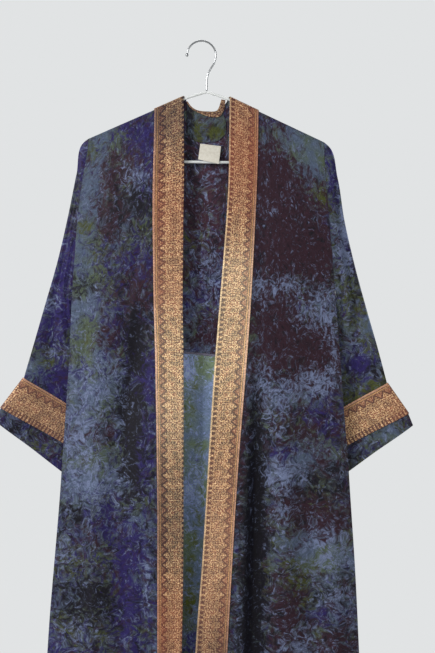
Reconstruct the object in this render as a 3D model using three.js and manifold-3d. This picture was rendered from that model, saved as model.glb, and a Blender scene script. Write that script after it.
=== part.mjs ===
// Open-front kimono robe on a plain hanger, in millimetres, +Z up.
// The origin is the inside top of the hanger's hook. +X is the wearer's left and +Y is the wearer's back.
// Heights are given as drops: millimetres below the origin.
import * as THREE from 'three';
import { mergeVertices } from 'three/addons/utils/BufferGeometryUtils.js';
import Module from 'manifold-3d';

// ---- driving sizes ----
const CLOTH = 1.2;                 // wall of every cloth piece
const LABEL_CLOTH = 1.0;
const SEAM_GAP = 0.3;              // between pieces that are sewn together
const GARMENT_X = 10;              // garment's centre, beside the hook's highest point
const NECK_HALF = 40;              // from the centre to the neck point
const NECK_DROP = 96.5;            // top of the cloth at the neck point
const SHOULDER_HALF = 204;         // from the centre to the armhole seam's top
const SHOULDER_SLOPE = 0.4557;     // fall of the shoulder line per millimetre across
const UNDERARM_DROP = 427;
const WAIST_SEAM_DROP = 541;       // seam across the back
const HEM_DROP = 1296;             // 1200 mm below the neck point
const BAND_COLUMNS = 3;            // strips across a front band
const PANEL_COLUMNS = 12;          // strips from a side edge to a front band
const ARMHOLE_HALF_GAP = 6;
const ARMHOLE_FULLNESS = 0.6;      // power that rounds the armhole's shape
const NECK_CURVE = 1.25;           // power of the arm's fall from the apex to the neck point
const NECK_LIFT_FADE = 6;          // down the cloth from the neckline's turn
const NECK_BAND_ROOM = 0.7;        // more than a layer's step, off the back
const LABEL_BEND = 0.85;           // share of the label's height in which it swings forward
const FOLD_FADE = 36;              // from a side edge to where the folds are whole
const WRAP_FADE = 90;              // from the arm down to where the cloth hangs free
const WAIST_SAG = { depth: 4, period: 45, reach: 150 };
const MITRE_LIMIT = 0.45;          // least part of a wall's step at a sharp bend

const ARM_RADIUS = 2.2;
const BAR_RADIUS = 2.4;
const BAR_DROP = 208.6;
const BAR_HALF = 189.7;
const HOOK_WIRE = 1.6;             // radius
const HOOK_BEND = 25;              // radius of the hook's arc
const HOOK_TIP_BALL = 2.8;
const HANGER_APEX_DROP = 88;
const STEM_END_DROP = 85.5;

const WRAP = ARM_RADIUS + SEAM_GAP + CLOTH / 2;   // middle of the cloth round the hanger's arm
const WRAP_LENGTH = WRAP * Math.PI / 2;
const LAYER_STEP = CLOTH + SEAM_GAP;              // from a panel's middle to the middle of what lies on it
const SIDE_SEAM_Y = (CLOTH + SEAM_GAP) / 2;

// Edges of the front at each drop. side is the side edge, outer and inner are the front band's edges,
// and the second letter is the wearer's side.
const FRONT_EDGES = [
  { drop: 97, sideR: -204, outerR: -90, innerR: -40, innerL: 40, outerL: 90, sideL: 204 },
  { drop: 180, sideR: -204, outerR: -90, innerR: -38, innerL: 40, outerL: 90, sideL: 205 },
  { drop: 240, sideR: -213, outerR: -90.5, innerR: -37, innerL: 40, outerL: 89, sideL: 208.5 },
  { drop: 300, sideR: -219.5, outerR: -90, innerR: -37, innerL: 37.5, outerL: 87, sideL: 214.5 },
  { drop: 380, sideR: -225, outerR: -88, innerR: -36.5, innerL: 32.5, outerL: 84, sideL: 222.5 },
  { drop: 460, sideR: -229.5, outerR: -85.5, innerR: -36, innerL: 27, outerL: 80.5, sideL: 230 },
  { drop: 540, sideR: -231.5, outerR: -82, innerR: -33.5, innerL: 21.5, outerL: 76, sideL: 237.5 },
  { drop: 620, sideR: -235.5, outerR: -79.5, innerR: -32, innerL: 17, outerL: 71, sideL: 244 },
  { drop: 700, sideR: -240, outerR: -77, innerR: -31, innerL: 13, outerL: 65.5, sideL: 252 },
  { drop: 800, sideR: -245.5, outerR: -74.5, innerR: -29.5, innerL: 8.5, outerL: 60, sideL: 260 },
  { drop: 900, sideR: -252.5, outerR: -73, innerR: -28.5, innerL: 3.5, outerL: 55.5, sideL: 268 },
  { drop: 1000, sideR: -259.5, outerR: -71.5, innerR: -28.5, innerL: -3, outerL: 51, sideL: 274.5 },
  { drop: 1100, sideR: -264.5, outerR: -70, innerR: -29, innerL: -8, outerL: 47, sideL: 280 },
  { drop: 1296, sideR: -273, outerR: -68, innerR: -28, innerL: -15, outerL: 40, sideL: 290 },
];

// How far the middle of the front and of the back stand from the hanger's plane.
const BODY_DEPTHS = [
  { drop: 97, front: 4, back: 4 },
  { drop: 200, front: 10, back: 8 },
  { drop: 320, front: 16, back: 12 },
  { drop: 500, front: 20, back: 15 },
  { drop: 800, front: 26, back: 18 },
  { drop: 1296, front: 32, back: 26 },
];

// Top edge of the back between the neck points: the drop at each distance from the centre.
const BACK_NECKLINE = [
  { across: 0, drop: 121 },
  { across: 9, drop: 120.5 },
  { across: 19, drop: 118 },
  { across: 28, drop: 111.5 },
  { across: 35.5, drop: 102.5 },
];
const NECK_TURN = 35.5;            // nearer the centre, the neckline hangs behind the hanger's arm

// Hanging folds. A positive depth goes back towards the wearer, and a negative one stands out as a ridge.
// A fold runs from (x0, top) to (x1, bottom), bows sideways by bow halfway, and has its full depth from the
// drop called full.
const FRONT_FOLDS = [
  { side: 'R', x0: -94, x1: -98, top: 390, full: 640, bottom: 1296, bow: -52, width: 34, depth: 15 },
  { side: 'R', x0: -97, x1: -100, top: 880, full: 1060, bottom: 1296, bow: 0, width: 12, depth: 7 },
  { side: 'R', x0: -165, x1: -176, top: 420, full: 900, bottom: 1296, bow: -8, width: 30, depth: -9 },
  { side: 'R', x0: -200, x1: -222, top: 560, full: 1000, bottom: 1296, bow: 4, width: 20, depth: 7 },
  { side: 'L', x0: 82, x1: 68, top: 360, full: 620, bottom: 1296, bow: 0, width: 11, depth: -6 },
  { side: 'L', x0: 98, x1: 92, top: 520, full: 800, bottom: 1296, bow: 6, width: 21, depth: 20 },
  { side: 'L', x0: 140, x1: 136, top: 560, full: 900, bottom: 1296, bow: 5, width: 30, depth: -8 },
  { side: 'L', x0: 176, x1: 196, top: 330, full: 760, bottom: 1296, bow: 6, width: 26, depth: 8 },
  { side: 'L', x0: 222, x1: 240, top: 640, full: 1000, bottom: 1296, bow: 0, width: 24, depth: -6 },
];
const BACK_FOLDS = [
  { x0: -150, x1: -186, top: 560, full: 1000, bottom: 1296, bow: -6, width: 34, depth: 9 },
  { x0: -92, x1: -104, top: 300, full: 900, bottom: 1296, bow: 8, width: 36, depth: -10 },
  { x0: -30, x1: -36, top: 420, full: 960, bottom: 1296, bow: -6, width: 30, depth: 8 },
  { x0: 34, x1: 40, top: 360, full: 900, bottom: 1296, bow: 5, width: 34, depth: -10 },
  { x0: 104, x1: 122, top: 460, full: 1000, bottom: 1296, bow: 7, width: 34, depth: 9 },
  { x0: 176, x1: 206, top: 600, full: 1040, bottom: 1296, bow: 0, width: 30, depth: -8 },
];

// Cuts across a hanging sleeve. out is its outer fold, in is its inner fold behind the back, at each drop;
// outY and inY are how far back each lies, and half is half the hollow. lean and inLean move the two folds
// out on the wearer's left. Each inner fold lies past the cut before it, so that no cuts cross.
const SLEEVE_CUTS = [
  { out: 212, outDrop: 177.5, in: 229.6, inDrop: 430.5, outY: 0, inY: 0.3, half: 5.5, lean: 0, inLean: 0 },
  { out: 224, outDrop: 232, in: 230.3, inDrop: 437, outY: 2, inY: 0.8, half: 5, lean: 5, inLean: 0 },
  { out: 238, outDrop: 305, in: 230.9, inDrop: 446, outY: 4, inY: 2, half: 5, lean: 4, inLean: 0 },
  { out: 256, outDrop: 386, in: 229.8, inDrop: 463, outY: 6, inY: 6, half: 5.5, lean: 6, inLean: 0.5 },
  { out: 277, outDrop: 462, in: 216, inDrop: 508, outY: 8, inY: 14, half: 6, lean: 7, inLean: 4 },
  { out: 296, outDrop: 531, in: 165, inDrop: 590, outY: 9, inY: 22, half: 6.5, lean: 9, inLean: 5.4 },
  { out: 312, outDrop: 588, in: 120, inDrop: 703, outY: 10, inY: 27, half: 7, lean: 9, inLean: 5.4 },
  { out: 351, outDrop: 641, in: 152, inDrop: 752, outY: 10, inY: 28, half: 9, lean: 8, inLean: 4.8 },
  { out: 364.5, outDrop: 661, in: 184, inDrop: 798, outY: 10, inY: 28, half: 10, lean: 3, inLean: 1.8 },
];
const CUFF_TOP_CUT = 7;            // cuts between which the cuff band lies, counted from the armhole
const CUFF_END_CUT = 8;
const FOLD_GAP = 0.45;             // clearance between a sleeve's halves, which taper towards their folds
const CUFF_SEAM_GAP = 0.6;         // clearance of each side from the seam above the cuff, which turns sharply
const SLEEVE_TURN = 0.42;          // share of a cut in which its depth turns from outY to inY
const SLEEVE_FULLNESS = 0.55;      // power that rounds a cut
const SLEEVE_GROOVE = { centre: 0.2, width: 0.13, depth: 4, firstCut: 1, lastCut: 6 };

// Drops of the rows along the side edge, below the three rows that wrap the shoulder seam.
const ROW_DROPS = [186, 206, 236, 272, 312, 352, 387, 412, UNDERARM_DROP,
  475, WAIST_SEAM_DROP, 610, 690, 780, 880, 990, 1100, 1200, HEM_DROP];
const WRAP_ROWS = 3;
const UNDERARM_ROW = WRAP_ROWS + ROW_DROPS.indexOf(UNDERARM_DROP);
const WAIST_SEAM_ROW = WRAP_ROWS + ROW_DROPS.indexOf(WAIST_SEAM_DROP);
const LAST_ROW = WRAP_ROWS + ROW_DROPS.length - 1;

// Half of the neck band, from a neck point to the centre of the back. topX is where a cut meets the neckline,
// and lowX and lowDrop are its place on the band's lower edge. The first three cuts wrap the shoulder seam.
const NECK_BAND_CUTS = [
  { topX: NECK_HALF, lowX: 90, lowDrop: 0 },
  { topX: (NECK_HALF + NECK_TURN) / 2, lowX: 90, lowDrop: 0 },
  { topX: NECK_TURN, lowX: 90, lowDrop: 0 },
  { topX: 33, lowX: 89, lowDrop: 138 },
  { topX: 28, lowX: 80, lowDrop: 153 },
  { topX: 21, lowX: 60, lowDrop: 165 },
  { topX: 11, lowX: 31, lowDrop: 171 },
  { topX: 0, lowX: 0, lowDrop: 173 },
];
const NECK_BAND_STRIPS = 3;
const FACING = { half: 34, down: 53, columns: 8, rows: 4 };

// The neck label's corners: across, drop and depth.
const LABEL_CORNERS = {
  topLeft: [-10, 176, 4.6], topRight: [26, 180, 4.6],
  lowLeft: [-13.2, 204.6, -3.6], lowRight: [22.6, 212, -4.2],
};

// ---- small mathematics ----
const lerp = (a, b, t) => a + (b - a) * t;

/** Smooth step from 0 at a to 1 at b. */
function ease(a, b, value) {
  const t = Math.min(1, Math.max(0, (value - a) / (b - a)));
  return t * t * (3 - 2 * t);
}

/** Value of a named column of a table at a key, on a smooth curve through its rows. */
function column(table, key, name, value) {
  const last = table.length - 1;
  let i = 0;
  while (i < last - 1 && value > table[i + 1][key]) i += 1;
  const span = table[i + 1][key] - table[i][key];
  const t = Math.min(1, Math.max(0, (value - table[i][key]) / span));
  const slope = (k) => {
    const low = table[Math.max(0, k - 1)];
    const high = table[Math.min(last, k + 1)];
    return (high[name] - low[name]) / (high[key] - low[key]) * span;
  };
  const rise = table[i + 1][name] - table[i][name];
  const a = slope(i) - rise;
  const b = rise - slope(i + 1);
  return lerp(table[i][name], table[i + 1][name], t) + t * (1 - t) * (a * (1 - t) + b * t);
}

const edge = (name, drop) => column(FRONT_EDGES, 'drop', name, drop);
const point = (x, y, drop) => new THREE.Vector3(x, y, -drop);

// ---- the body's surface ----
/** Drop of the hanger arm's centre at a place across. */
function wireDrop(x) {
  const across = Math.abs(x);
  if (across >= NECK_HALF) {
    return NECK_DROP + (across - NECK_HALF) * SHOULDER_SLOPE + WRAP * Math.hypot(1, SHOULDER_SLOPE);
  }
  const atNeck = NECK_DROP + WRAP * Math.hypot(1, SHOULDER_SLOPE);
  return lerp(HANGER_APEX_DROP, atNeck, Math.pow(across / NECK_HALF, NECK_CURVE));
}

/** Shape of the armhole: half the gap between front and back at the side edge. */
function sideHalfGap(drop) {
  const u = (drop - wireDrop(SHOULDER_HALF)) / (UNDERARM_DROP - wireDrop(SHOULDER_HALF));
  if (u >= 1 || u <= 0) return SIDE_SEAM_Y;
  return SIDE_SEAM_Y + (ARMHOLE_HALF_GAP - SIDE_SEAM_Y) * Math.pow(Math.sin(Math.PI * u), ARMHOLE_FULLNESS);
}

/** Sum of the folds at a point of a panel. */
function foldDepth(folds, x, drop) {
  let sum = 0;
  for (const fold of folds) {
    const run = Math.min(1, Math.max(0, (drop - fold.top) / (fold.bottom - fold.top)));
    const centre = lerp(fold.x0, fold.x1, run) + fold.bow * Math.sin(Math.PI * run);
    const off = (x - centre) / fold.width;
    sum += fold.depth * ease(fold.top, fold.full, drop) * Math.exp(-off * off);
  }
  return sum;
}

/** How far a panel stands from the hanger's plane, always positive. */
function bodyDepth(face, x, drop) {
  const side = Math.abs(edge(x < 0 ? 'sideR' : 'sideL', drop));
  const inside = Math.max(0, side - Math.abs(x));
  const roundness = 1 - Math.pow(1 - Math.min(1, inside / side), 3);
  const full = column(BODY_DEPTHS, 'drop', face, drop);
  const folds = face === 'front'
    ? FRONT_FOLDS.filter((fold) => (fold.side === 'R') === (x < 0))
    : BACK_FOLDS;
  const turned = foldDepth(folds, x, drop) * ease(0, FOLD_FADE, inside);
  const loose = lerp(sideHalfGap(drop), full, roundness) - (face === 'front' ? turned : -turned);
  const free = ease(0, WRAP_FADE, drop - wireDrop(x));
  return Math.max(lerp(WRAP, loose, free), SIDE_SEAM_Y);
}

/** Drop of a row at a place where the arm's centre, or the neckline's turn, lies at the drop called top. */
const rowDrop = (row, top) => {
  const drop = ROW_DROPS[row - WRAP_ROWS];
  if (drop >= UNDERARM_DROP) return drop;
  const sideTop = wireDrop(SHOULDER_HALF);
  return lerp(top, UNDERARM_DROP, (drop - sideTop) / (UNDERARM_DROP - sideTop));
};

/** Point on the shoulder's wrap, turned by an angle from flat behind or before the arm (0) to on top (90). */
function wrapPoint(x, angle, sign, radius = WRAP) {
  const y = Math.max(SEAM_GAP / 2, radius * Math.cos(angle));
  return point(x, sign * y, wireDrop(x) - radius * Math.sin(angle) * Math.hypot(1, SHOULDER_SLOPE));
}

/** Point of the front at a row, where column counts strips from the side edge to the opening. */
function frontPoint(letter, row, strip) {
  const level = row < WRAP_ROWS ? NECK_DROP : ROW_DROPS[row - WRAP_ROWS];
  const across = (drop) => {
    const outer = edge(`outer${letter}`, drop);
    if (strip <= PANEL_COLUMNS) return lerp(edge(`side${letter}`, drop), outer, strip / PANEL_COLUMNS);
    return lerp(outer, edge(`inner${letter}`, drop), (strip - PANEL_COLUMNS) / BAND_COLUMNS);
  };
  let x = across(level);
  if (row < WRAP_ROWS) return wrapPoint(x, Math.PI / 2 * (1 - row / (WRAP_ROWS - 1)), -1);
  let drop = rowDrop(row, wireDrop(x));
  x = across(drop);
  drop = rowDrop(row, wireDrop(x));
  return point(x, -bodyDepth('front', x, drop), drop);
}

/** Point of the back at a length of cloth below its top edge. */
function backPoint(x, down) {
  const across = Math.abs(x);
  if (across < NECK_TURN) {
    const drop = column(BACK_NECKLINE, 'across', 'drop', across) + down;
    return point(x, bodyDepth('back', x, drop), drop);
  }
  const start = Math.PI / 2 * Math.min(1, (across - NECK_TURN) / (NECK_HALF - NECK_TURN));
  const lift = across < NECK_HALF ? Math.min(1, 2 - start / (Math.PI / 4)) : 0;
  const edgeDrop = lerp(wireDrop(x), column(BACK_NECKLINE, 'across', 'drop', NECK_TURN), lift);
  const angle = start - down / WRAP;
  if (angle > 0) return wrapPoint(x, angle, 1, WRAP + lift);
  const drop = edgeDrop - Math.min(0, angle) * WRAP;
  return point(x, bodyDepth('back', x, drop) + lift * Math.exp(-(drop - edgeDrop) / NECK_LIFT_FADE), drop);
}

/** Point of the back at a row. */
function backRowPoint(x, row) {
  if (row < WRAP_ROWS) return backPoint(x, WRAP_LENGTH * row / (WRAP_ROWS - 1));
  const top = -backPoint(x, WRAP_LENGTH).z;
  const drop = rowDrop(row, top);
  return point(x, bodyDepth('back', x, drop), drop);
}

/** Places across the back at a row, from the wearer's right to the left. */
function backAcross(row) {
  const neck = [NECK_HALF, 38, NECK_TURN, 28, 19, 9];
  const widen = ease(WRAP_ROWS, WAIST_SEAM_ROW, row);
  const level = row < WRAP_ROWS ? NECK_DROP : ROW_DROPS[row - WRAP_ROWS];
  const list = [];
  for (const letter of ['R', 'L']) {
    const sign = letter === 'R' ? -1 : 1;
    const side = Math.abs(edge(`side${letter}`, level));
    const half = [];
    const shoulderStrips = 7;
    for (let i = 0; i < shoulderStrips; i += 1) {
      half.push(lerp(side, NECK_HALF, i / shoulderStrips));
    }
    neck.forEach((place, i) => half.push(lerp(place, NECK_HALF * (1 - i / neck.length), widen)));
    const signed = half.map((place) => sign * place);
    if (letter === 'R') list.push(...signed, 0);
    else list.push(...signed.reverse());
  }
  return list;
}

/** The seam across the back hangs a little lower towards the wearer's left. */
function waistSeamSag(x) {
  const { depth, period, reach } = WAIST_SAG;
  return depth * Math.sin(x / period) * Math.exp(-Math.pow(x / reach, 2));
}

/** Grid of the back between two rows; gap moves an end row up or down to part it at the seam. */
function backGrid(firstRow, lastRow) {
  const grid = [];
  for (let row = firstRow; row <= lastRow; row += 1) {
    grid.push(backAcross(row).map((x) => {
      const p = backRowPoint(x, row);
      if (row !== WAIST_SEAM_ROW) return p;
      const part = row === lastRow ? -SEAM_GAP / 2 : SEAM_GAP / 2;
      return point(x, p.y, -p.z + waistSeamSag(x) + part);
    }));
  }
  return grid;
}

function frontGrid(letter, firstStrip, lastStrip) {
  const grid = [];
  for (let row = 0; row <= LAST_ROW; row += 1) {
    const line = [];
    for (let strip = firstStrip; strip <= lastStrip; strip += 1) line.push(frontPoint(letter, row, strip));
    grid.push(line);
  }
  return grid;
}

// ---- walls ----
/** Directions in which each point of a grid is moved to give a wall: unit normals with a mitre at bends. */
function wallDirections(grid, ring, pin) {
  const rows = grid.length;
  const columns = grid[0].length;
  const spans = ring ? columns : columns - 1;
  const faceNormal = [];
  for (let i = 0; i < rows - 1; i += 1) {
    faceNormal.push([]);
    for (let j = 0; j < spans; j += 1) {
      const k = (j + 1) % columns;
      const across = grid[i + 1][k].clone().sub(grid[i][j]);
      const back = grid[i + 1][j].clone().sub(grid[i][k]);
      faceNormal[i].push(back.cross(across).normalize());
    }
  }
  return grid.map((line, i) => line.map((_, j) => {
    const near = [];
    for (const a of [i - 1, i]) {
      for (const b of [j - 1, j]) {
        const c = ring ? (b + spans) % spans : b;
        if (a >= 0 && a < rows - 1 && c >= 0 && c < spans) near.push(faceNormal[a][c]);
      }
    }
    const normal = near.reduce((sum, n) => sum.add(n), new THREE.Vector3());
    if (pin) pin(normal, i, j, grid);
    normal.normalize();
    const mean = near.reduce((sum, n) => sum + n.dot(normal), 0) / near.length;
    return normal.divideScalar(Math.max(MITRE_LIMIT, mean));
  }));
}

/** A grid moved out along its own directions. */
function movedOut(grid, distance, pin, ring = false) {
  const directions = wallDirections(grid, ring, pin);
  return grid.map((line, i) => line.map((p, j) => p.clone().addScaledVector(directions[i][j], distance)));
}

/** Closed wall of a given thickness with a grid of points as its middle. */
function wall(grid, thickness, { ring = false, pin = null, shared = null } = {}) {
  const rows = grid.length;
  const columns = grid[0].length;
  const spans = ring ? columns : columns - 1;
  const directions = shared ?? wallDirections(grid, ring, pin);
  const positions = [];
  for (const side of [0.5, -0.5]) {
    grid.forEach((line, i) => line.forEach((p, j) => {
      positions.push(...p.clone().addScaledVector(directions[i][j], side * thickness));
    }));
  }
  const at = (side, i, j) => side * rows * columns + i * columns + (j % columns);
  const index = [];
  const quad = (a, b, c, d) => index.push(a, b, c, a, c, d);
  for (let i = 0; i < rows - 1; i += 1) {
    for (let j = 0; j < spans; j += 1) {
      quad(at(0, i, j), at(0, i, j + 1), at(0, i + 1, j + 1), at(0, i + 1, j));
      quad(at(1, i, j), at(1, i + 1, j), at(1, i + 1, j + 1), at(1, i, j + 1));
    }
  }
  for (let j = 0; j < spans; j += 1) {
    quad(at(0, 0, j), at(1, 0, j), at(1, 0, j + 1), at(0, 0, j + 1));
    quad(at(0, rows - 1, j), at(0, rows - 1, j + 1), at(1, rows - 1, j + 1), at(1, rows - 1, j));
  }
  if (!ring) {
    for (let i = 0; i < rows - 1; i += 1) {
      quad(at(0, i + 1, 0), at(1, i + 1, 0), at(1, i, 0), at(0, i, 0));
      const end = columns - 1;
      quad(at(0, i + 1, end), at(0, i, end), at(1, i, end), at(1, i + 1, end));
    }
  }
  const geometry = new THREE.BufferGeometry();
  geometry.setAttribute('position', new THREE.Float32BufferAttribute(positions, 3));
  geometry.setIndex(index);
  if (signedVolume(geometry) < 0) {
    for (let k = 0; k < index.length; k += 3) [index[k], index[k + 1]] = [index[k + 1], index[k]];
    geometry.setIndex(index);
  }
  geometry.computeVertexNormals();
  return geometry;
}

function signedVolume(geometry) {
  const position = geometry.getAttribute('position');
  const index = geometry.getIndex();
  const [a, b, c] = [new THREE.Vector3(), new THREE.Vector3(), new THREE.Vector3()];
  let volume = 0;
  for (let k = 0; k < index.count; k += 3) {
    a.fromBufferAttribute(position, index.getX(k));
    b.fromBufferAttribute(position, index.getX(k + 1));
    c.fromBufferAttribute(position, index.getX(k + 2));
    volume += a.dot(b.cross(c)) / 6;
  }
  return volume;
}

// ---- materials and group ----
function material(color, roughness, metalness = 0) {
  return new THREE.MeshStandardMaterial({ color, roughness, metalness });
}
const DYED_SILK = material('#474a66', 0.5);
const PLUM_SILK = material('#4b3547', 0.5);
const BACK_SILK = material('#3f4152', 0.55);
const BROCADE = material('#a5753f', 0.45, 0.3);
const FACING_SILK = material('#4c5149', 0.6);
const LABEL_SATIN = material('#e6e1d5', 0.55);
const CHROMED_STEEL = material('#c9cccf', 0.15, 1);
const WHITE_LACQUER = material('#eef0ee', 0.35);

const robe = new THREE.Group();
robe.position.x = GARMENT_X;

function addPiece(name, geometry, finish) {
  const mesh = new THREE.Mesh(geometry, finish);
  mesh.name = name;
  robe.add(mesh);
}

// ---- fronts and their bands ----
/** Edges stay square to the shoulder seam and the armhole seam, so that neighbours don't touch. */
function frontPin(firstStrip) {
  return (normal, i, j) => {
    if (i === 0) normal.y = 0;
    if (j + firstStrip === 0 && i > 0 && i <= UNDERARM_ROW) normal.x = 0;
  };
}

for (const letter of ['R', 'L']) {
  const side = letter === 'R' ? 'r' : 'l';
  const whole = PANEL_COLUMNS + BAND_COLUMNS;
  const panel = frontGrid(letter, 0, whole);
  const inward = letter === 'R' ? 1 : -1;
  panel.forEach((line, i) => {
    if (i <= UNDERARM_ROW) line[0].x += inward * SEAM_GAP / 2;
  });
  const finish = letter === 'R' ? DYED_SILK : PLUM_SILK;
  addPiece(`front_${side}`, wall(panel, CLOTH, { pin: frontPin(0) }), finish);
  const outward = letter === 'R' ? 1 : -1;
  const lifted = movedOut(panel, outward * LAYER_STEP, frontPin(0)).map((line) => line.slice(PANEL_COLUMNS));
  addPiece(`front_band_${side}`, wall(lifted, CLOTH, { pin: frontPin(PANEL_COLUMNS) }), BROCADE);
}

// ---- back ----
const upperGrid = backGrid(0, WAIST_SEAM_ROW);
upperGrid.forEach((line, i) => {
  if (i > UNDERARM_ROW) return;
  line[0].x += SEAM_GAP / 2;
  line[line.length - 1].x -= SEAM_GAP / 2;
});
const upperColumns = upperGrid[0].length;
const upperPin = (normal, i, j) => {
  if (i === 0 && Math.abs(upperGrid[0][j].x) >= NECK_HALF - 0.1) normal.y = 0;
  if ((j === 0 || j === upperColumns - 1) && i > 0 && i <= UNDERARM_ROW) normal.x = 0;
  if (i === WAIST_SEAM_ROW) normal.z = 0;
};
addPiece('back_upper', wall(upperGrid, CLOTH, { pin: upperPin }), BACK_SILK);

const lowerPin = (normal, i) => {
  if (i === 0) normal.z = 0;
};
addPiece('back_lower', wall(backGrid(WAIST_SEAM_ROW, LAST_ROW), CLOTH, { pin: lowerPin }), DYED_SILK);

// ---- neck band, facing and label ----
/** Point moved off the back, where positive is outside the garment. */
function offBack(x, down, distance) {
  const step = 0.5;
  const here = backPoint(x, down);
  const along = backPoint(x, down + step).sub(backPoint(x, Math.max(0, down - step)));
  const beside = backPoint(x + step, down).sub(backPoint(x - step, down));
  const outward = beside.cross(along).normalize();
  return here.addScaledVector(outward, distance);
}

/** Grid of the neck band on the outside of the back, from the right neck point to the left one. */
function neckBandGrid() {
  const half = NECK_BAND_CUTS.map((cut, k) => ({ ...cut, k }));
  const cuts = [
    ...half.map((cut) => ({ ...cut, sign: -1 })),
    ...half.slice(0, -1).reverse().map((cut) => ({ ...cut, sign: 1 })),
  ];
  const clear = LAYER_STEP + NECK_BAND_ROOM;
  return cuts.map(({ topX, lowX, lowDrop, k, sign }) => {
    const wrapped = k < WRAP_ROWS ? WRAP_LENGTH * k / (WRAP_ROWS - 1) : 0;
    const topDrop = -backPoint(topX, 0).z;
    const line = [];
    for (let strip = 0; strip <= NECK_BAND_STRIPS; strip += 1) {
      const t = strip / NECK_BAND_STRIPS;
      const x = sign * lerp(topX, lowX, t);
      const below = Math.max(0, lerp(topDrop, lowDrop, t) + backPoint(x, 0).z);
      const p = offBack(x, k < WRAP_ROWS ? wrapped * Math.min(1, strip) : below, clear);
      if (k === 0) p.y = SEAM_GAP / 2;
      line.push(p);
    }
    return line;
  });
}
const neckBandRows = NECK_BAND_CUTS.length * 2 - 1;
const neckBandPin = (normal, i) => {
  if (i === 0 || i === neckBandRows - 1) normal.y = 0;
};
addPiece('neck_band', wall(neckBandGrid(), CLOTH, { pin: neckBandPin }), BROCADE);

function facingGrid() {
  const grid = [];
  for (let row = 0; row <= FACING.rows; row += 1) {
    const line = [];
    for (let k = 0; k <= FACING.columns; k += 1) {
      const x = lerp(-FACING.half, FACING.half, k / FACING.columns);
      const down = lerp(1, FACING.down, row / FACING.rows);
      line.push(offBack(x, down, -LAYER_STEP));
    }
    grid.push(line);
  }
  return grid;
}
addPiece('neck_facing', wall(facingGrid(), CLOTH), FACING_SILK);

function labelGrid() {
  const { topLeft, topRight, lowLeft, lowRight } = LABEL_CORNERS;
  const strips = 3;
  const grid = [];
  for (let row = 0; row <= strips; row += 1) {
    const line = [];
    for (let k = 0; k <= strips; k += 1) {
      const [u, v] = [k / strips, row / strips];
      const between = (n, t) => lerp(lerp(topLeft[n], topRight[n], u), lerp(lowLeft[n], lowRight[n], u), t);
      line.push(point(between(0, v), between(2, ease(0, LABEL_BEND, v)), between(1, v)));
    }
    grid.push(line);
  }
  return grid;
}
addPiece('neck_label', wall(labelGrid(), LABEL_CLOTH), LABEL_SATIN);

// ---- sleeves and cuff bands ----
/** Rings of a sleeve from the armhole to its hem, each from the outer fold down the front and up the back. */
function sleeveGrid(letter) {
  const sign = letter === 'R' ? -1 : 1;
  const rows = [];
  for (let row = 0; row <= UNDERARM_ROW; row += 1) rows.push(row);
  const faces = [
    ...rows.map((row) => ({ row, face: -1 })),
    ...rows.slice(1, -1).reverse().map((row) => ({ row, face: 1 })),
  ];
  const armholeTop = frontPoint(letter, 0, 0);
  const armholeEnd = frontPoint(letter, UNDERARM_ROW, 0);
  const fraction = rows.map((row) => {
    const p = frontPoint(letter, row, 0);
    return (armholeTop.z - p.z) / (armholeTop.z - armholeEnd.z);
  });
  const armhole = faces.map(({ row, face }) => {
    const p = frontPoint(letter, row, 0);
    const closed = row === 0 || row === UNDERARM_ROW;
    return new THREE.Vector3(p.x + sign * SEAM_GAP / 2, closed ? 0 : face * Math.abs(p.y), p.z);
  });
  const grid = [armhole];
  SLEEVE_CUTS.forEach((cut, k) => {
    const out = sign * cut.out + (letter === 'L' ? cut.lean : 0);
    const inner = sign * cut.in + (letter === 'L' ? cut.inLean : 0);
    const { centre, width, depth, firstCut, lastCut } = SLEEVE_GROOVE;
    grid.push(faces.map(({ row, face }) => {
      const u = fraction[row];
      const middle = lerp(cut.outY, cut.inY, k === 0 ? u : ease(0, SLEEVE_TURN, u));
      const hollow = cut.half * Math.pow(Math.sin(Math.PI * Math.min(1, Math.max(0, u))), SLEEVE_FULLNESS);
      const off = (u - centre) / width;
      const grooved = face < 0 && k >= firstCut && k <= lastCut ? depth * Math.exp(-off * off) : 0;
      return point(lerp(out, inner, u), middle + face * hollow + grooved, lerp(cut.outDrop, cut.inDrop, u));
    }));
  });
  return grid;
}
/** Directions stay square to the armhole seam, and at each fold they halve the turn of the fold's path. */
const sleevePin = (normal, i, j, grid) => {
  if (j === 0 || j === UNDERARM_ROW) {
    const p = grid[i][j];
    const before = p.clone().sub(grid[Math.max(0, i - 1)][j]).normalize();
    const after = grid[Math.min(grid.length - 1, i + 1)][j].clone().sub(p).normalize();
    const along = before.add(after);
    const sense = j === 0 ? 1 : -1;
    normal.set(sense * along.z, 0, -sense * along.x);
  }
  if (i === 0) normal.x = 0;
};

/** Row of points moved towards another row, to keep clear of the seam above the cuff. */
function movedOffSeam(line, towards) {
  return line.map((p, j) => p.clone().addScaledVector(towards[j].clone().sub(p).normalize(), CUFF_SEAM_GAP));
}

/** The half of a sleeve's rows on one face, from fold to fold. */
function sleeveHalf(rows, face) {
  const first = face < 0 ? 0 : UNDERARM_ROW;
  return rows.map((row) => {
    const line = [];
    for (let k = 0; k <= UNDERARM_ROW; k += 1) line.push(row[(first + k) % row.length].clone());
    return line;
  });
}

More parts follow.
